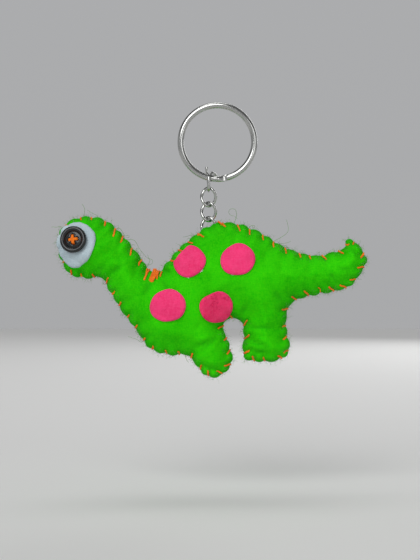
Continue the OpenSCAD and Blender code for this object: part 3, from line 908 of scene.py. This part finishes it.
def make_body():
    flat, triangles = layout()
    puff = inflate(flat, triangles)
    rim_painted_shade = np.full(3 * EDGE_N, 0.5)
    shaped = [shape_height(flat, triangles, puff, side) for side in (-1, 1)]
    for side, name, (height, painted_shade) in zip((-1, 1), ("front_panel", "back_panel"), shaped):
        skin = panel_skin(flat, triangles, height, side)
        panel = new_piece("felt_" + name, skin, "body_felt", (name,), 1)
        # Painted shade: the mask on the outer face, 0.3 on the inner face and 0.5 on the cut edge
        store_painted_shade(panel, np.concatenate([painted_shade, np.ones(len(flat)) * 0.3, rim_painted_shade]))
    heights = [height for height, _ in shaped]
    skin = filling_skin(flat, triangles, heights)
    filling = new_piece("fibre_filling", skin, "fibrefill", ("stuffing",))
    return Surface(flat, triangles, heights)


# ---------------------------------------------------------------- felt patches and glue

# Spots: name, node, finish, place (x, z), across, tall, lean in degrees, squareness, waves of the cut
# edge (count, size and phase), and where glue creeps out (direction, width and how far)
SPOTS = [
    ["shoulder_spot", "spot_shoulder", "spot_felt", -7.0, -12.75, 12.3, 11.2, 38, 0.03,
     [[2, 0.01, 40], [5, 0.010, 10]], [[-38, 14, 0.30], [-95, 8, 0.16]]],
    ["rump_spot", "spot_rump", "spot_felt", 10.7, -12.1, 12.9, 11.5, 18, 0.0,
     [[3, 0.022, 190], [5, 0.012, 30]], [[250, 8, 0.10]]],
    ["chest_spot", "spot_chest", "spot_felt", -14.9, -28.9, 13.5, 11.7, 14, 0.01,
     [[3, 0.014, 210], [6, 0.008, 0]], [[60, 6, 0.10]]],
    ["belly_spot", "spot_belly", "rubbed_felt_and_crease_shade", 2.8, -29.4, 12.9, 11.4, 26, 0.02,
     [[3, 0.020, 300], [5, 0.012, 50]], [[300, 8, 0.05]]],
]
# How near the seam a spot may come, by its finish, and how much more its glue keeps clear
SEAM_MARGIN = {"spot_felt": 1.8, "rubbed_felt_and_crease_shade": 0.7}
GLUE_MARGIN = 0.4
# Rings, spokes and ripple of a spot's mesh, by its finish
SPOT_MESH = {"spot_felt": (16, 72, 0.008), "rubbed_felt_and_crease_shade": (24, 96, 0.035)}
FILM_LIFT, FILM_T = 0.02, GLUE_T - 0.04


def spot_reach(spot, turn):
    """Radius of a hand-cut spot in a direction, in degrees."""
    across, tall, lean, square, waves = spot[5:10]
    a = math.radians(turn - lean)
    reach = (across / 2) * (tall / 2) / math.hypot(tall / 2 * math.cos(a), across / 2 * math.sin(a))
    reach *= 1 - square * math.cos(4 * a)
    for count, size, phase in waves:
        reach *= 1 + size * math.sin(math.radians(count * turn + phase))
    return reach


# The hand-cut eye disc, an egg with its narrow end down: direction in degrees and radius
EYE_CUT = [
    [-20, 6.8], [18, 7.7], [55, 7.7], [90, 7.75], [135, 7.7], [177, 7.4], [204, 7.2], [230, 7.7],
    [252, 8.55], [266, 8.8], [279, 8.4], [302, 7.4], [340, 6.8], [378, 7.7],
]


def eye_reach(turn):
    """Radius of the egg-shaped eye disc in a direction, in degrees."""
    turn = turn % 360
    nearby = np.array([-9.0, 0.0, 9.0]) + turn
    return float(np.mean(np.interp(nearby, [c[0] for c in EYE_CUT], [c[1] for c in EYE_CUT])))


def patch_skin(surface, place, reach_of, lift, thick, rings, spokes, ripple=0.0, tuck=None):
    """A felt patch laid on the front: a closed disc that follows the surface, with a rounded cut edge."""
    place = np.asarray(place, float)
    turns = np.arange(spokes) * 360 / spokes
    shares = np.linspace(0, 1, rings + 1)[1:]
    wave = random.Random(int(place[0] * 10))
    ups = [(wave.uniform(0, 2 * math.pi), wave.uniform(0.5, 1.7), wave.uniform(0, 6.28)) for _ in range(10)]

    def over(share, turn, raised):
        a = math.radians(turn)
        spot = place + share * reach_of(turn) * np.array([math.cos(a), math.sin(a)])
        point, normal = surface.at(tuck(spot)) if tuck else surface.bridged(spot)
        x, z = spot
        bump = ripple * sum(math.sin(x * f * math.cos(t) + z * f * math.sin(t) + p) for t, f, p in ups)
        return point + normal * (raised + (bump if raised > lift else 0))

    top, bottom = [over(0, 0, lift + thick)], [over(0, 0, lift)]
    for share in shares:
        crown = lift + thick * (1 - 0.5 * max(0, (share - 0.9) / 0.1) ** 2)
        top += [over(share * 0.985, t, crown) for t in turns]
        bottom += [over(share * 0.985, t, lift) for t in turns]
    side = [over(1.0, t, lift + thick * 0.32) for t in turns]
    n = len(top)
    points = np.vstack([top, bottom, side])
    faces = []
    for base, flip in ((0, False), (n, True)):
        for k in range(spokes):
            m = (k + 1) % spokes
            tri = [base, base + 1 + k, base + 1 + m]
            faces.append(tri[::-1] if flip else tri)
            for r in range(rings - 1):
                a, b = base + 1 + r * spokes, base + 1 + (r + 1) * spokes
                quad = [a + k, b + k, b + m, a + m]
                faces.append(quad[::-1] if flip else quad)
    rim_top, rim_low = 1 + (rings - 1) * spokes, n + 1 + (rings - 1) * spokes
    for k in range(spokes):
        m = (k + 1) % spokes
        faces.append([rim_top + k, 2 * n + k, 2 * n + m, rim_top + m])
        faces.append([2 * n + k, rim_low + k, rim_low + m, 2 * n + m])
    return points, faces


def glue_reach(reach_of, seams):
    """A glue film that stays under its patch but creeps out in a few places."""

    def reach(turn):
        creep = -0.7
        for middle, width, out in seams:
            off = (turn - middle + 180) % 360 - 180
            wave = 1 + 0.25 * math.sin(turn * 0.9)
            creep = max(creep, -0.7 + (0.7 + out) * math.exp(-(off / width) ** 2) * wave)
        return reach_of(turn) + creep

    return reach


def clear_of_seam(reach_of, place, margin):
    """A patch's reach, cut back where it would come nearer the seam than a margin."""
    known = {}

    def reach(turn):
        if turn not in known:
            ray = np.array([math.cos(math.radians(turn)), math.sin(math.radians(turn))])
            far = reach_of(turn)
            while far > 1:
                end = place + far * ray
                i = nearest_on_edge(end)
                if np.dot(end - smooth_edge[i], edge_inward[i]) > margin:
                    break
                far -= 0.05
            known[turn] = far
        return known[turn]

    return reach


def make_spots(surface):
    films = []
    for spot in SPOTS:
        name, node, finish, x, z = spot[:5]
        place, margin = np.array([x, z]) * SCALE, SEAM_MARGIN[finish]
        rings, spokes, ripple = SPOT_MESH[finish]

        def cut(turn, spot=spot):
            return spot_reach(spot, turn)

        reach = clear_of_seam(cut, place, margin)
        skin = patch_skin(surface, place, reach, GLUE_T, SPOT_T, rings, spokes, ripple)
        new_piece(name, skin, finish, (node,), 1)
        reach = clear_of_seam(glue_reach(cut, spot[10]), place, margin + GLUE_MARGIN)
        films.append(patch_skin(surface, place, reach, FILM_LIFT, FILM_T, 8, 120))
    new_piece("spot_glue_films", join(films), "glue", ("spot_glue",))


def inside_head(place):
    """Draws a place that falls past the head's edge back onto it."""
    i = nearest_on_edge(place)
    out = float(np.dot(place - smooth_edge[i], -edge_inward[i]))
    return smooth_edge[i] + edge_inward[i] * 0.5 if out > -0.5 else place


def make_eye(surface):
    skin = patch_skin(surface, EYE, eye_reach, GLUE_T, EYE_T, 20, 110, 0.012, inside_head)
    new_piece("white_eye_disc", skin, "eye_felt", ("eye_disc",), 1)
    skin = patch_skin(surface, EYE, lambda t: eye_reach(t) - 0.6, FILM_LIFT, FILM_T, 8, 72, 0.0, inside_head)
    new_piece("eye_glue_film", skin, "glue", ("eye_glue",))


# ---------------------------------------------------------------- button

HOLE_R = 0.78
HOLE_AT = 1.42
CROSS_TURN = math.radians(8)
# Half of the button's cross-section: [radius, height], from the middle of its back to that of its dish
BUTTON_PROFILE = [
    [0, 0], [3.4, 0], [4.3, 0.18], [4.8, 0.62], [5.0, 1.15], [4.99, 1.6], [4.86, 1.98], [4.6, 2.26],
    [4.2, 2.4], [3.8, 2.34], [3.45, 2.12], [3.2, 1.82], [3.02, 1.52], [2.86, 1.38], [2.62, 1.42],
    [2.4, 1.52], [1.2, 1.56], [0, 1.56],
]


def lathe(profile, turns=96):
    """A closed solid of revolution about +Z whose first and last points lie on the axis."""
    body = profile[1:-1]
    points = [[0, 0, profile[0][1]], [0, 0, profile[-1][1]]]
    angles = [2 * math.pi * k / turns for k in range(turns)]
    for r, h in body:
        points += [[r * math.cos(a), r * math.sin(a), h] for a in angles]
    faces = []
    for k in range(turns):
        m = (k + 1) % turns
        faces.append([0, 2 + m, 2 + k])
        last = 2 + (len(body) - 1) * turns
        faces.append([1, last + k, last + m])
        for r in range(len(body) - 1):
            a, b = 2 + r * turns, 2 + (r + 1) * turns
            faces.append([a + k, a + m, b + m, b + k])
    return np.array(points), faces


def button_axes():
    up = BUTTON_AXIS / np.linalg.norm(BUTTON_AXIS)
    right = np.cross([0, 0, 1.0], up)
    right = -right / np.linalg.norm(right)
    right = np.cross(up, np.cross(right, up))
    right /= np.linalg.norm(right)
    return right, np.cross(up, right), up


def on_button(points):
    """Moves points from the button's own axes to its place on the head."""
    right, over, up = button_axes()
    p = np.asarray(points, float)
    return BUTTON_BASE + p[:, :1] * right + p[:, 1:2] * over + p[:, 2:3] * up


def cut_holes(piece, centres):
    """Four thread holes with softened mouths."""
    mouth = HOLE_R + 0.24
    flare = [[0, -1], [HOLE_R, -1], [HOLE_R, 1.34], [HOLE_R + 0.07, 1.47], [mouth, 1.62], [mouth, 3], [0, 3]]
    points, faces = lathe(flare, 28)
    cutter_points, cutter_faces = join([(points + np.append(c, 0), faces) for c in centres])
    mesh = bpy.data.meshes.new("hole_cutter")
    mesh.from_pydata((on_button(cutter_points) * MM).tolist(), [], cutter_faces)
    cutter = put("hole_cutter", mesh)
    cut = piece.modifiers.new("holes", "BOOLEAN")
    cut.operation, cut.solver, cut.object = "DIFFERENCE", "EXACT", cutter
    bpy.context.view_layer.update()
    shaped = bpy.data.meshes.new_from_object(piece.evaluated_get(bpy.context.evaluated_depsgraph_get()))
    piece.modifiers.clear()
    piece.data = shaped
    bpy.data.objects.remove(cutter)
    shaped.shade_smooth()
    shaped.set_sharp_from_angle(angle=math.radians(50))


def make_button():
    points, faces = lathe(BUTTON_PROFILE)
    button = new_piece(
        "black_button", (on_button(points), faces), "black_button", ("button",))
    corners = [CROSS_TURN + q * math.pi / 2 for q in range(4)]
    centres = [(HOLE_AT * math.cos(a), HOLE_AT * math.sin(a)) for a in corners]
    cut_holes(button, centres)
    strands = []
    for q in range(2):
        for shift in (-0.26, 0.0, 0.26):
            a, b = np.array(centres[q]), np.array(centres[q + 2])
            across = np.array([-(b - a)[1], (b - a)[0]])
            across /= np.linalg.norm(across)
            crown = 2.0 + 0.26 * q + 0.12 * (shift == 0)
            half = [
                [1.04, 0.7, -1.9], [1.04, 0.7, 0.7], [1.12, 0.75, 1.45], [0.92, 0.95, crown - 0.14],
                [0.45, 1.1, crown],
            ]
            rows = half + [[0, 1.0, crown + 0.05]] + [[-s, w, h] for s, w, h in half[::-1]]
            path = [np.append(a * s + across * shift * w, h) for s, w, h in rows]
            strands.append(floss(on_button(smooth_path(path, 5)), 0.33))
    new_piece("button_floss", join(strands), "floss", ("button_thread",))


# ---------------------------------------------------------------- stitches

KNOT_SIZE = 0.27


def over_edge(surface, front_hole, edge_place, outward, back_hole, radius, sink=0.55, out=0.0):
    """A strand from under the back panel, up over the edge, and into the front panel."""
    path = []
    rim = edge_place - outward * 0.05
    for side, hole in ((1, back_hole), (-1, front_hole)):
        leg = []
        inner, inner_normal = surface.at(hole, side)
        dive = (hole - rim) / max(np.linalg.norm(hole - rim), 1e-6)
        under = inner - inner_normal * 1.15
        under[0] += dive[0] * 0.5
        under[2] += dive[1] * 0.5
        leg.append(under)
        for share in (1.0, 0.72, 0.42, 0.15):
            spot = rim * (1 - share) + hole * share
            point, normal = surface.at(spot, side)
            raised = radius * (0.15 if share == 1.0 else sink + 0.25)
            leg.append(point + normal * raised)
        leg = leg if side > 0 else leg[::-1]
        path += leg
        if side > 0:
            top = edge_place + outward * (radius * 0.75 + out)
            path.append(np.array([top[0] + HANG[0], 0.45, top[1] + HANG[2]]))
            path.append(np.array([top[0] + HANG[0], -0.45, top[1] + HANG[2]]))
    return smooth_path(path, 3)


def hidden_by_patch(place):
    """Stitches under the eye disc, at the valley bundle and at the chain aren't sewn again."""
    eye = np.linalg.norm(place - EYE) < 7.9
    valley = np.linalg.norm(place - VALLEY) < 3.4
    link = abs(place[0]) < LINK_HALF_W + LINK_WIRE and place[1] > -5
    return eye or valley or link


def make_seam(surface):
    strands = []
    for run in STITCHES:
        i = edge_index(run)
        if hidden_by_patch(edge[i]):
            continue
        _, front = stitch_line(run, -1)
        _, back = stitch_line(run, 1)
        radius = FLOSS_R * random.Random(int(run * 10)).uniform(0.86, 1.1)
        strands.append(floss(over_edge(surface, front, edge[i], -edge_inward[i], back, radius), radius))
    new_piece("whip_stitches", join(strands), "floss", ("seam_stitches",))


# Stitches beside the valley's bundle: where each crosses the edge (x, z), its hole (x, z) and its radius
VALLEY_STITCHES = [
    [[-22.4, -15.9], [-23.9, -19.3], 0.42],
    [[-18.9, -17.3], [-19.2, -19.0], 0.34],
    [[-17.5, -16.6], [-18.0, -18.1], 0.34],
]


def make_valley_bundle(surface):
    """Several wraps drawn tight in the valley behind the neck, with the stitches on either side of it."""
    strands = []
    low = np.array([-21.3, -20.0]) * SCALE
    top = np.array([-19.6, -16.5]) * SCALE
    across = np.array([top[1] - low[1], low[0] - top[0]])
    across /= np.linalg.norm(across)
    for k, offset in enumerate((-0.78, -0.27, 0.27, 0.76)):
        crown = top + across * offset * 1.4 + np.array([0, 0.15 * (1 - abs(offset))])
        hole = low + across * offset * 0.75 + np.array([0, 0.35 * abs(offset)])
        back = low + np.array([-1.6 + 0.3 * k, 0.2])
        ends = surface, hole, crown, np.array([0.15, 0.99]), back
        strands.append(floss(over_edge(*ends, 0.40, 0.9, 0.2 + 0.2 * (k % 2)), 0.40))
    for start, hole, radius in VALLEY_STITCHES:
        start, hole = np.array(start) * SCALE, np.array(hole) * SCALE
        ends = surface, hole, start, np.array([0.5, 0.86]), hole + np.array([1.6, 0.3])
        strands.append(floss(over_edge(*ends, radius), radius))
    new_piece("valley_bundle", join(strands), "floss", ("valley_wraps",))


# One loop of the lashing round the last link's left side: along X and along Y from its middle
LASHING_LOOP = [
    [-1.5, 1.4], [-1.75, 0.0], [-1.35, -1.15], [0.0, -1.5], [1.35, -1.2], [1.75, 0.0], [1.4, 1.3], [0.0, 1.5],
]


def make_lashing(surface):
    """Stitches that tie the last link in at the seam."""
    strands = []
    left = np.array([-LINK_HALF_W, -2.6])
    for shift in (0.0, 0.75):
        bite = left + np.array([0, -shift])
        path = [[HANG[0] + bite[0] + dx, y, HANG[2] + bite[1] + dx * 0.12] for dx, y in LASHING_LOOP]
        strands.append(floss(smooth_path(path, 5, closed=True), 0.36, closed=True))
    foot = np.array([0, -LINK_RISE + SEWN_RISE])
    turns = np.linspace(0, 2 * math.pi, 20, endpoint=False)
    for dx in (-0.7, 0.3):
        mid = HANG + np.array([foot[0] + dx, 0, foot[1]])
        path = [mid + np.array([0.2 * math.sin(t), 1.35 * math.cos(t), 1.25 * math.sin(t)]) for t in turns]
        strands.append(floss(np.array(path), 0.34, closed=True))
    for x in (3.7, 5.1):
        i = nearest_on_edge(np.array([x, 1.0]) * SCALE)
        hole = edge[i] + edge_inward[i] * 1.1 + edge_ahead[i] * 0.9
        strands.append(floss(over_edge(surface, hole, edge[i], -edge_inward[i], hole, 0.38), 0.38))
    new_piece("link_ties", join(strands), "floss", ("link_lashing",))


def make_knots():
    """The three knots inside, each a small overhand knot where the model has one."""
    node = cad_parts["thread_knots"]
    spots = np.array([v.co for v in node.data.vertices]) / MM
    centres = []
    for p in spots:
        if all(np.linalg.norm(p - c[0]) > 4 for c in centres):
            centres.append([p, []])
        min(centres, key=lambda c: np.linalg.norm(p - c[0]))[1].append(p)
    turns = np.linspace(0, 2 * math.pi, 60, endpoint=False)
    knot = KNOT_SIZE * np.stack([
        np.sin(turns) + 2 * np.sin(2 * turns),
        np.cos(turns) - 2 * np.cos(2 * turns),
        -np.sin(3 * turns) * 1.3,
    ], 1)
    strands = [floss(np.mean(near, axis=0) + knot, 0.26, closed=True) for _, near in centres]
    new_piece("overhand_knots", join(strands), "floss", ("thread_knots",))


# ---------------------------------------------------------------- key ring and chain


def ring_skin():
    """Two half-round coils of one spring wire, which cross from front to back near the bottom."""
    outer = (RING_HIGH[0] - RING_LOW[0]) / 2
    half = (RING_HIGH[1] - RING_LOW[1]) / 2
    mid_r = outer - half
    cross_from, cross_arc, gap = math.radians(-91), math.radians(14), math.radians(1.5)
    turns = np.linspace(cross_from + cross_arc + gap, cross_from + 4 * math.pi - gap, 560)
    share = np.clip((turns - cross_from - 2 * math.pi) / cross_arc, 0, 1)
    share = share * share * (3 - 2 * share)
    across = half * 0.985 * np.cos(np.linspace(math.pi, 0, 15))
    crown = np.sqrt(half ** 2 - across ** 2)
    groove = 0.02 + 0.12 * (np.abs(across) / half) ** 10
    points, count = [], 2 * len(across)
    for i, (turn, s) in enumerate(zip(turns, share)):
        low = -crown * (1 - s) + groove * s
        high = -groove * (1 - s) + crown * s
        small = min(1.0, 0.8 + 0.1 * min(i, len(turns) - 1 - i))
        middle = (low.mean() + high.mean()) / 2
        out = np.array([math.cos(turn), 0, math.sin(turn)])
        outline = list(zip(across, low)) + list(zip(across[::-1], high[::-1]))
        for r, h in outline:
            points.append(out * (mid_r + r * small) + np.array([0, middle + (h - middle) * small, 0]))
    rows = [np.arange(i * count, (i + 1) * count) for i in range(len(turns))]
    faces = bands(rows)
    for end in (0, len(turns) - 1):
        faces.append([end * count + k for k in range(count)])
    return np.array(points), faces


def curb_path(top_z, foot_twist, steps=120):
    """Centreline of a twisted link that hangs from top_z."""
    twist = math.radians(35)
    path = []
    for i in range(steps):
        turn = 2 * math.pi * i / steps
        rise = math.sin(turn)
        yaw = twist * max(rise, 0) + foot_twist * min(rise, 0)
        x = LINK_HALF_W * math.cos(turn)
        path.append([HANG[0] + x * math.cos(yaw), -x * math.sin(yaw), top_z + (rise - 1) * LINK_RISE / 2])
    return np.array(path)


def connector_path():
    """The end link, opened sideways: hooked over the ring, round its foot and up to its other cut end."""
    low, high = node_box("connector_link")
    foot_z = low[2] + LINK_WIRE / 2
    hook_r, yaw = 2.9, math.radians(32)
    hook_z = foot_z - LINK_WIRE / 2 + 8 - LINK_WIRE / 2 - hook_r
    bend_z = foot_z + LINK_HALF_W
    toward = np.array([math.sin(yaw), math.cos(yaw)])
    path = []
    for turn in np.radians(np.linspace(14, 180, 40)):
        out = hook_r * (1 + math.cos(turn))
        rise = hook_z + hook_r * math.sin(turn)
        path.append([HANG[0] + toward[0] * out, -LINK_HALF_W + toward[1] * out, rise])
    for turn in np.radians(np.linspace(180, 360, 36)):
        path.append([HANG[0], LINK_HALF_W * math.cos(turn), bend_z + LINK_HALF_W * math.sin(turn)])
    for share in np.linspace(0.1, 1, 14):
        rise = bend_z + (high[2] - 0.1 - bend_z) * share
        path.append([HANG[0] - 0.8 * share, LINK_HALF_W * (1 - 0.16 * share), rise])
    path = np.array(path)
    for _ in range(4):
        path[70:-1] = (path[69:-2] + 2 * path[70:-1] + path[71:]) / 4
    return path


# Curb links: name, node, body, and how far the foot is twisted in degrees
CURB_LINKS = [
    ["first_curb_link", "upper_link", "upper", 35],
    ["second_curb_link", "lower_link", "lower", 35],
    ["sewn_curb_link", "sewn_link", "toy", 0],
]


def make_chain():
    ring = new_piece("split_ring", ring_skin(), "nickel", ("key_ring",), body="ring")
    ring.data.set_sharp_from_angle(angle=math.radians(70))
    hook = rod(connector_path(), LINK_WIRE / 2, 24)
    new_piece("opened_end_link", hook, "nickel", ("connector_link",), body="connector")
    for name, node, body, foot in CURB_LINKS:
        top = node_box(node)[1][2] - LINK_WIRE / 2
        link = rod(curb_path(top, math.radians(foot)), LINK_WIRE / 2, 24, closed=True)
        new_piece(name, link, "nickel", (node,), body=body)


# ---------------------------------------------------------------- loose fibres


def curl(start, heading, length, rough, seed, steps=14):
    """A wandering fibre from a point in the layout plane, as a path."""
    draw = random.Random(seed)
    direction = math.atan2(heading[1], heading[0])
    bend, tilt = 0.0, draw.uniform(-0.5, 0.5)
    p = np.array(start, float)
    path = [p.copy()]
    for _ in range(steps):
        bend = 0.75 * bend + draw.gauss(0, rough)
        direction += bend
        tilt = 0.8 * tilt + draw.gauss(0, 0.25)
        step = length / steps
        p = p + step * np.array([math.cos(direction), 0.5 * math.sin(tilt), math.sin(direction)])
        path.append(p.copy())
    return np.array(path)


# Long strays: start (x, z), heading (x, z), length and waviness
STRAYS = [
    [6.8, 1.9, -0.3, 1, 5, 0.5], [29.5, -7.5, 0.4, 1, 6, 0.35], [33.5, -9.2, 0.1, 1, 6, 0.4],
    [-5.8, -4.4, -0.6, 1, 6, 0.15], [-26.2, -10.4, 1, 0.1, 6, 0.5], [-23.5, -14.2, 0.4, 0.9, 6, 0.5],
    [-41.5, 4.0, 0.6, 1, 6, 0.15], [-47.0, 4.0, -0.7, 0.8, 6, 0.12], [-55, 0.5, -1, 0.6, 5, 0.2],
    [-24.5, -43.0, -1, -0.3, 7, 0.4], [-33, -1.5, 1, 0.6, 6, 0.35], [15.5, 0.6, 0.6, 1, 5, 0.4],
    [3.5, 1.2, 0.2, 1, 5, 0.45], [20.3, -2.2, 0.3, 1, 6, 0.35], [48.5, -22.9, 0.3, -1, 5, 0.2],
    [-11.5, -8.4, -0.9, 0.7, 5, 0.3], [29.8, -42, 1, -0.3, 4, 0.3], [38, -9.9, 0.1, 1, 4.5, 0.45],
    [-14, -12, -1, 0.2, 5, 0.3], [-37.5, -21.5, -1, -0.4, 4, 0.35], [-9, -47.6, -0.3, -1, 4, 0.3],
]
STRAY_R, FUZZ_R, FUZZ_COUNT = 0.075, 0.036, 2400

# Longer strays that lie in loops beside the felt, as points (x, z)
LOOPED_STRAYS = [
    [[-36, -2.2], [-33.9, 0.1], [-32.1, -1.8], [-31.2, -4.2], [-27.9, -4.6], [-25.7, -8.1], [-23.1, -11.1],
     [-21.2, -11.9], [-21.4, -13.4], [-23.6, -13.8]],
    [[9.5, 0.5], [9.9, 2.7], [10.5, 5.2], [9.8, 7.0], [8.2, 7.1], [7.5, 5.9], [8.4, 4.8], [9.6, 4.5],
     [10.8, 3.4]],
    [[22.6, -7], [24.2, -5.1], [27.9, -3.0], [29.8, -0.9], [29.4, 2.4], [29.0, 3.2]],
    [[23.2, -6.6], [26.5, -5.9], [29.0, -5.6], [30.8, -4.9]],
    [[30.2, -8.8], [29.6, -7.2], [27.6, -6.4], [26.4, -7.4]],
]


def on_plane(x, y, z):
    """A point near the seam plane, over a place on the pattern."""
    return HANG + np.array([x * SCALE, y, z * SCALE])


def make_fibres(surface):
    strays = []
    for k, loop in enumerate(LOOPED_STRAYS):
        path = [on_plane(x, 0.5 * math.sin(i + k), z) for i, (x, z) in enumerate(loop)]
        strays.append(rod(smooth_path(path, 6), STRAY_R, 5, taper=0.4))
    for k, (x, z, hx, hz, length, rough) in enumerate(STRAYS):
        start = on_plane(x, 0.4 * math.sin(k * 2.4), z)
        heading = np.array([hx, hz]) / math.hypot(hx, hz)
        start[0] -= heading[0] * 0.9
        start[2] -= heading[1] * 0.9
        path = smooth_path(curl(start, heading, length, rough, 100 + k), 2)
        strays.append(rod(path, STRAY_R, 5, taper=0.4))
    new_piece("stray_fibres", join(strays), "fuzz")
    draw = random.Random(SEED)
    fuzz = []
    for k in range(FUZZ_COUNT):
        i = draw.randrange(EDGE_N)
        side = draw.choice((-1, 1))
        inset = draw.uniform(0.0, 1.0) ** 2 * 2.6
        place = edge[i] + edge_inward[i] * inset
        point, normal = surface.at(place, side)
        if hidden_by_patch(edge[i]) and side < 0:
            continue
        outward = -edge_inward[i] + edge_ahead[i] * draw.uniform(-1.1, 1.1)
        flat = curl([0, 0, 0], outward, draw.uniform(0.8, 2.4), 0.4, 500 + k, 4)
        lean = normal * draw.uniform(0.0, 0.6)
        path = point - normal * 0.12 + flat + np.linspace(0, 1, len(flat))[:, None] * lean
        fuzz.append(rod(path, FUZZ_R, 3, taper=0.5))
    new_piece("edge_fuzz", join(fuzz), "fuzz")


# ---------------------------------------------------------------- build

make_camera()
make_studio()
make_floor()
MATERIALS = make_materials()
toy_surface = make_body()
make_spots(toy_surface)
make_eye(toy_surface)
make_button()
make_seam(toy_surface)
make_valley_bundle(toy_surface)
make_lashing(toy_surface)
make_knots()
make_chain()
make_fibres(toy_surface)
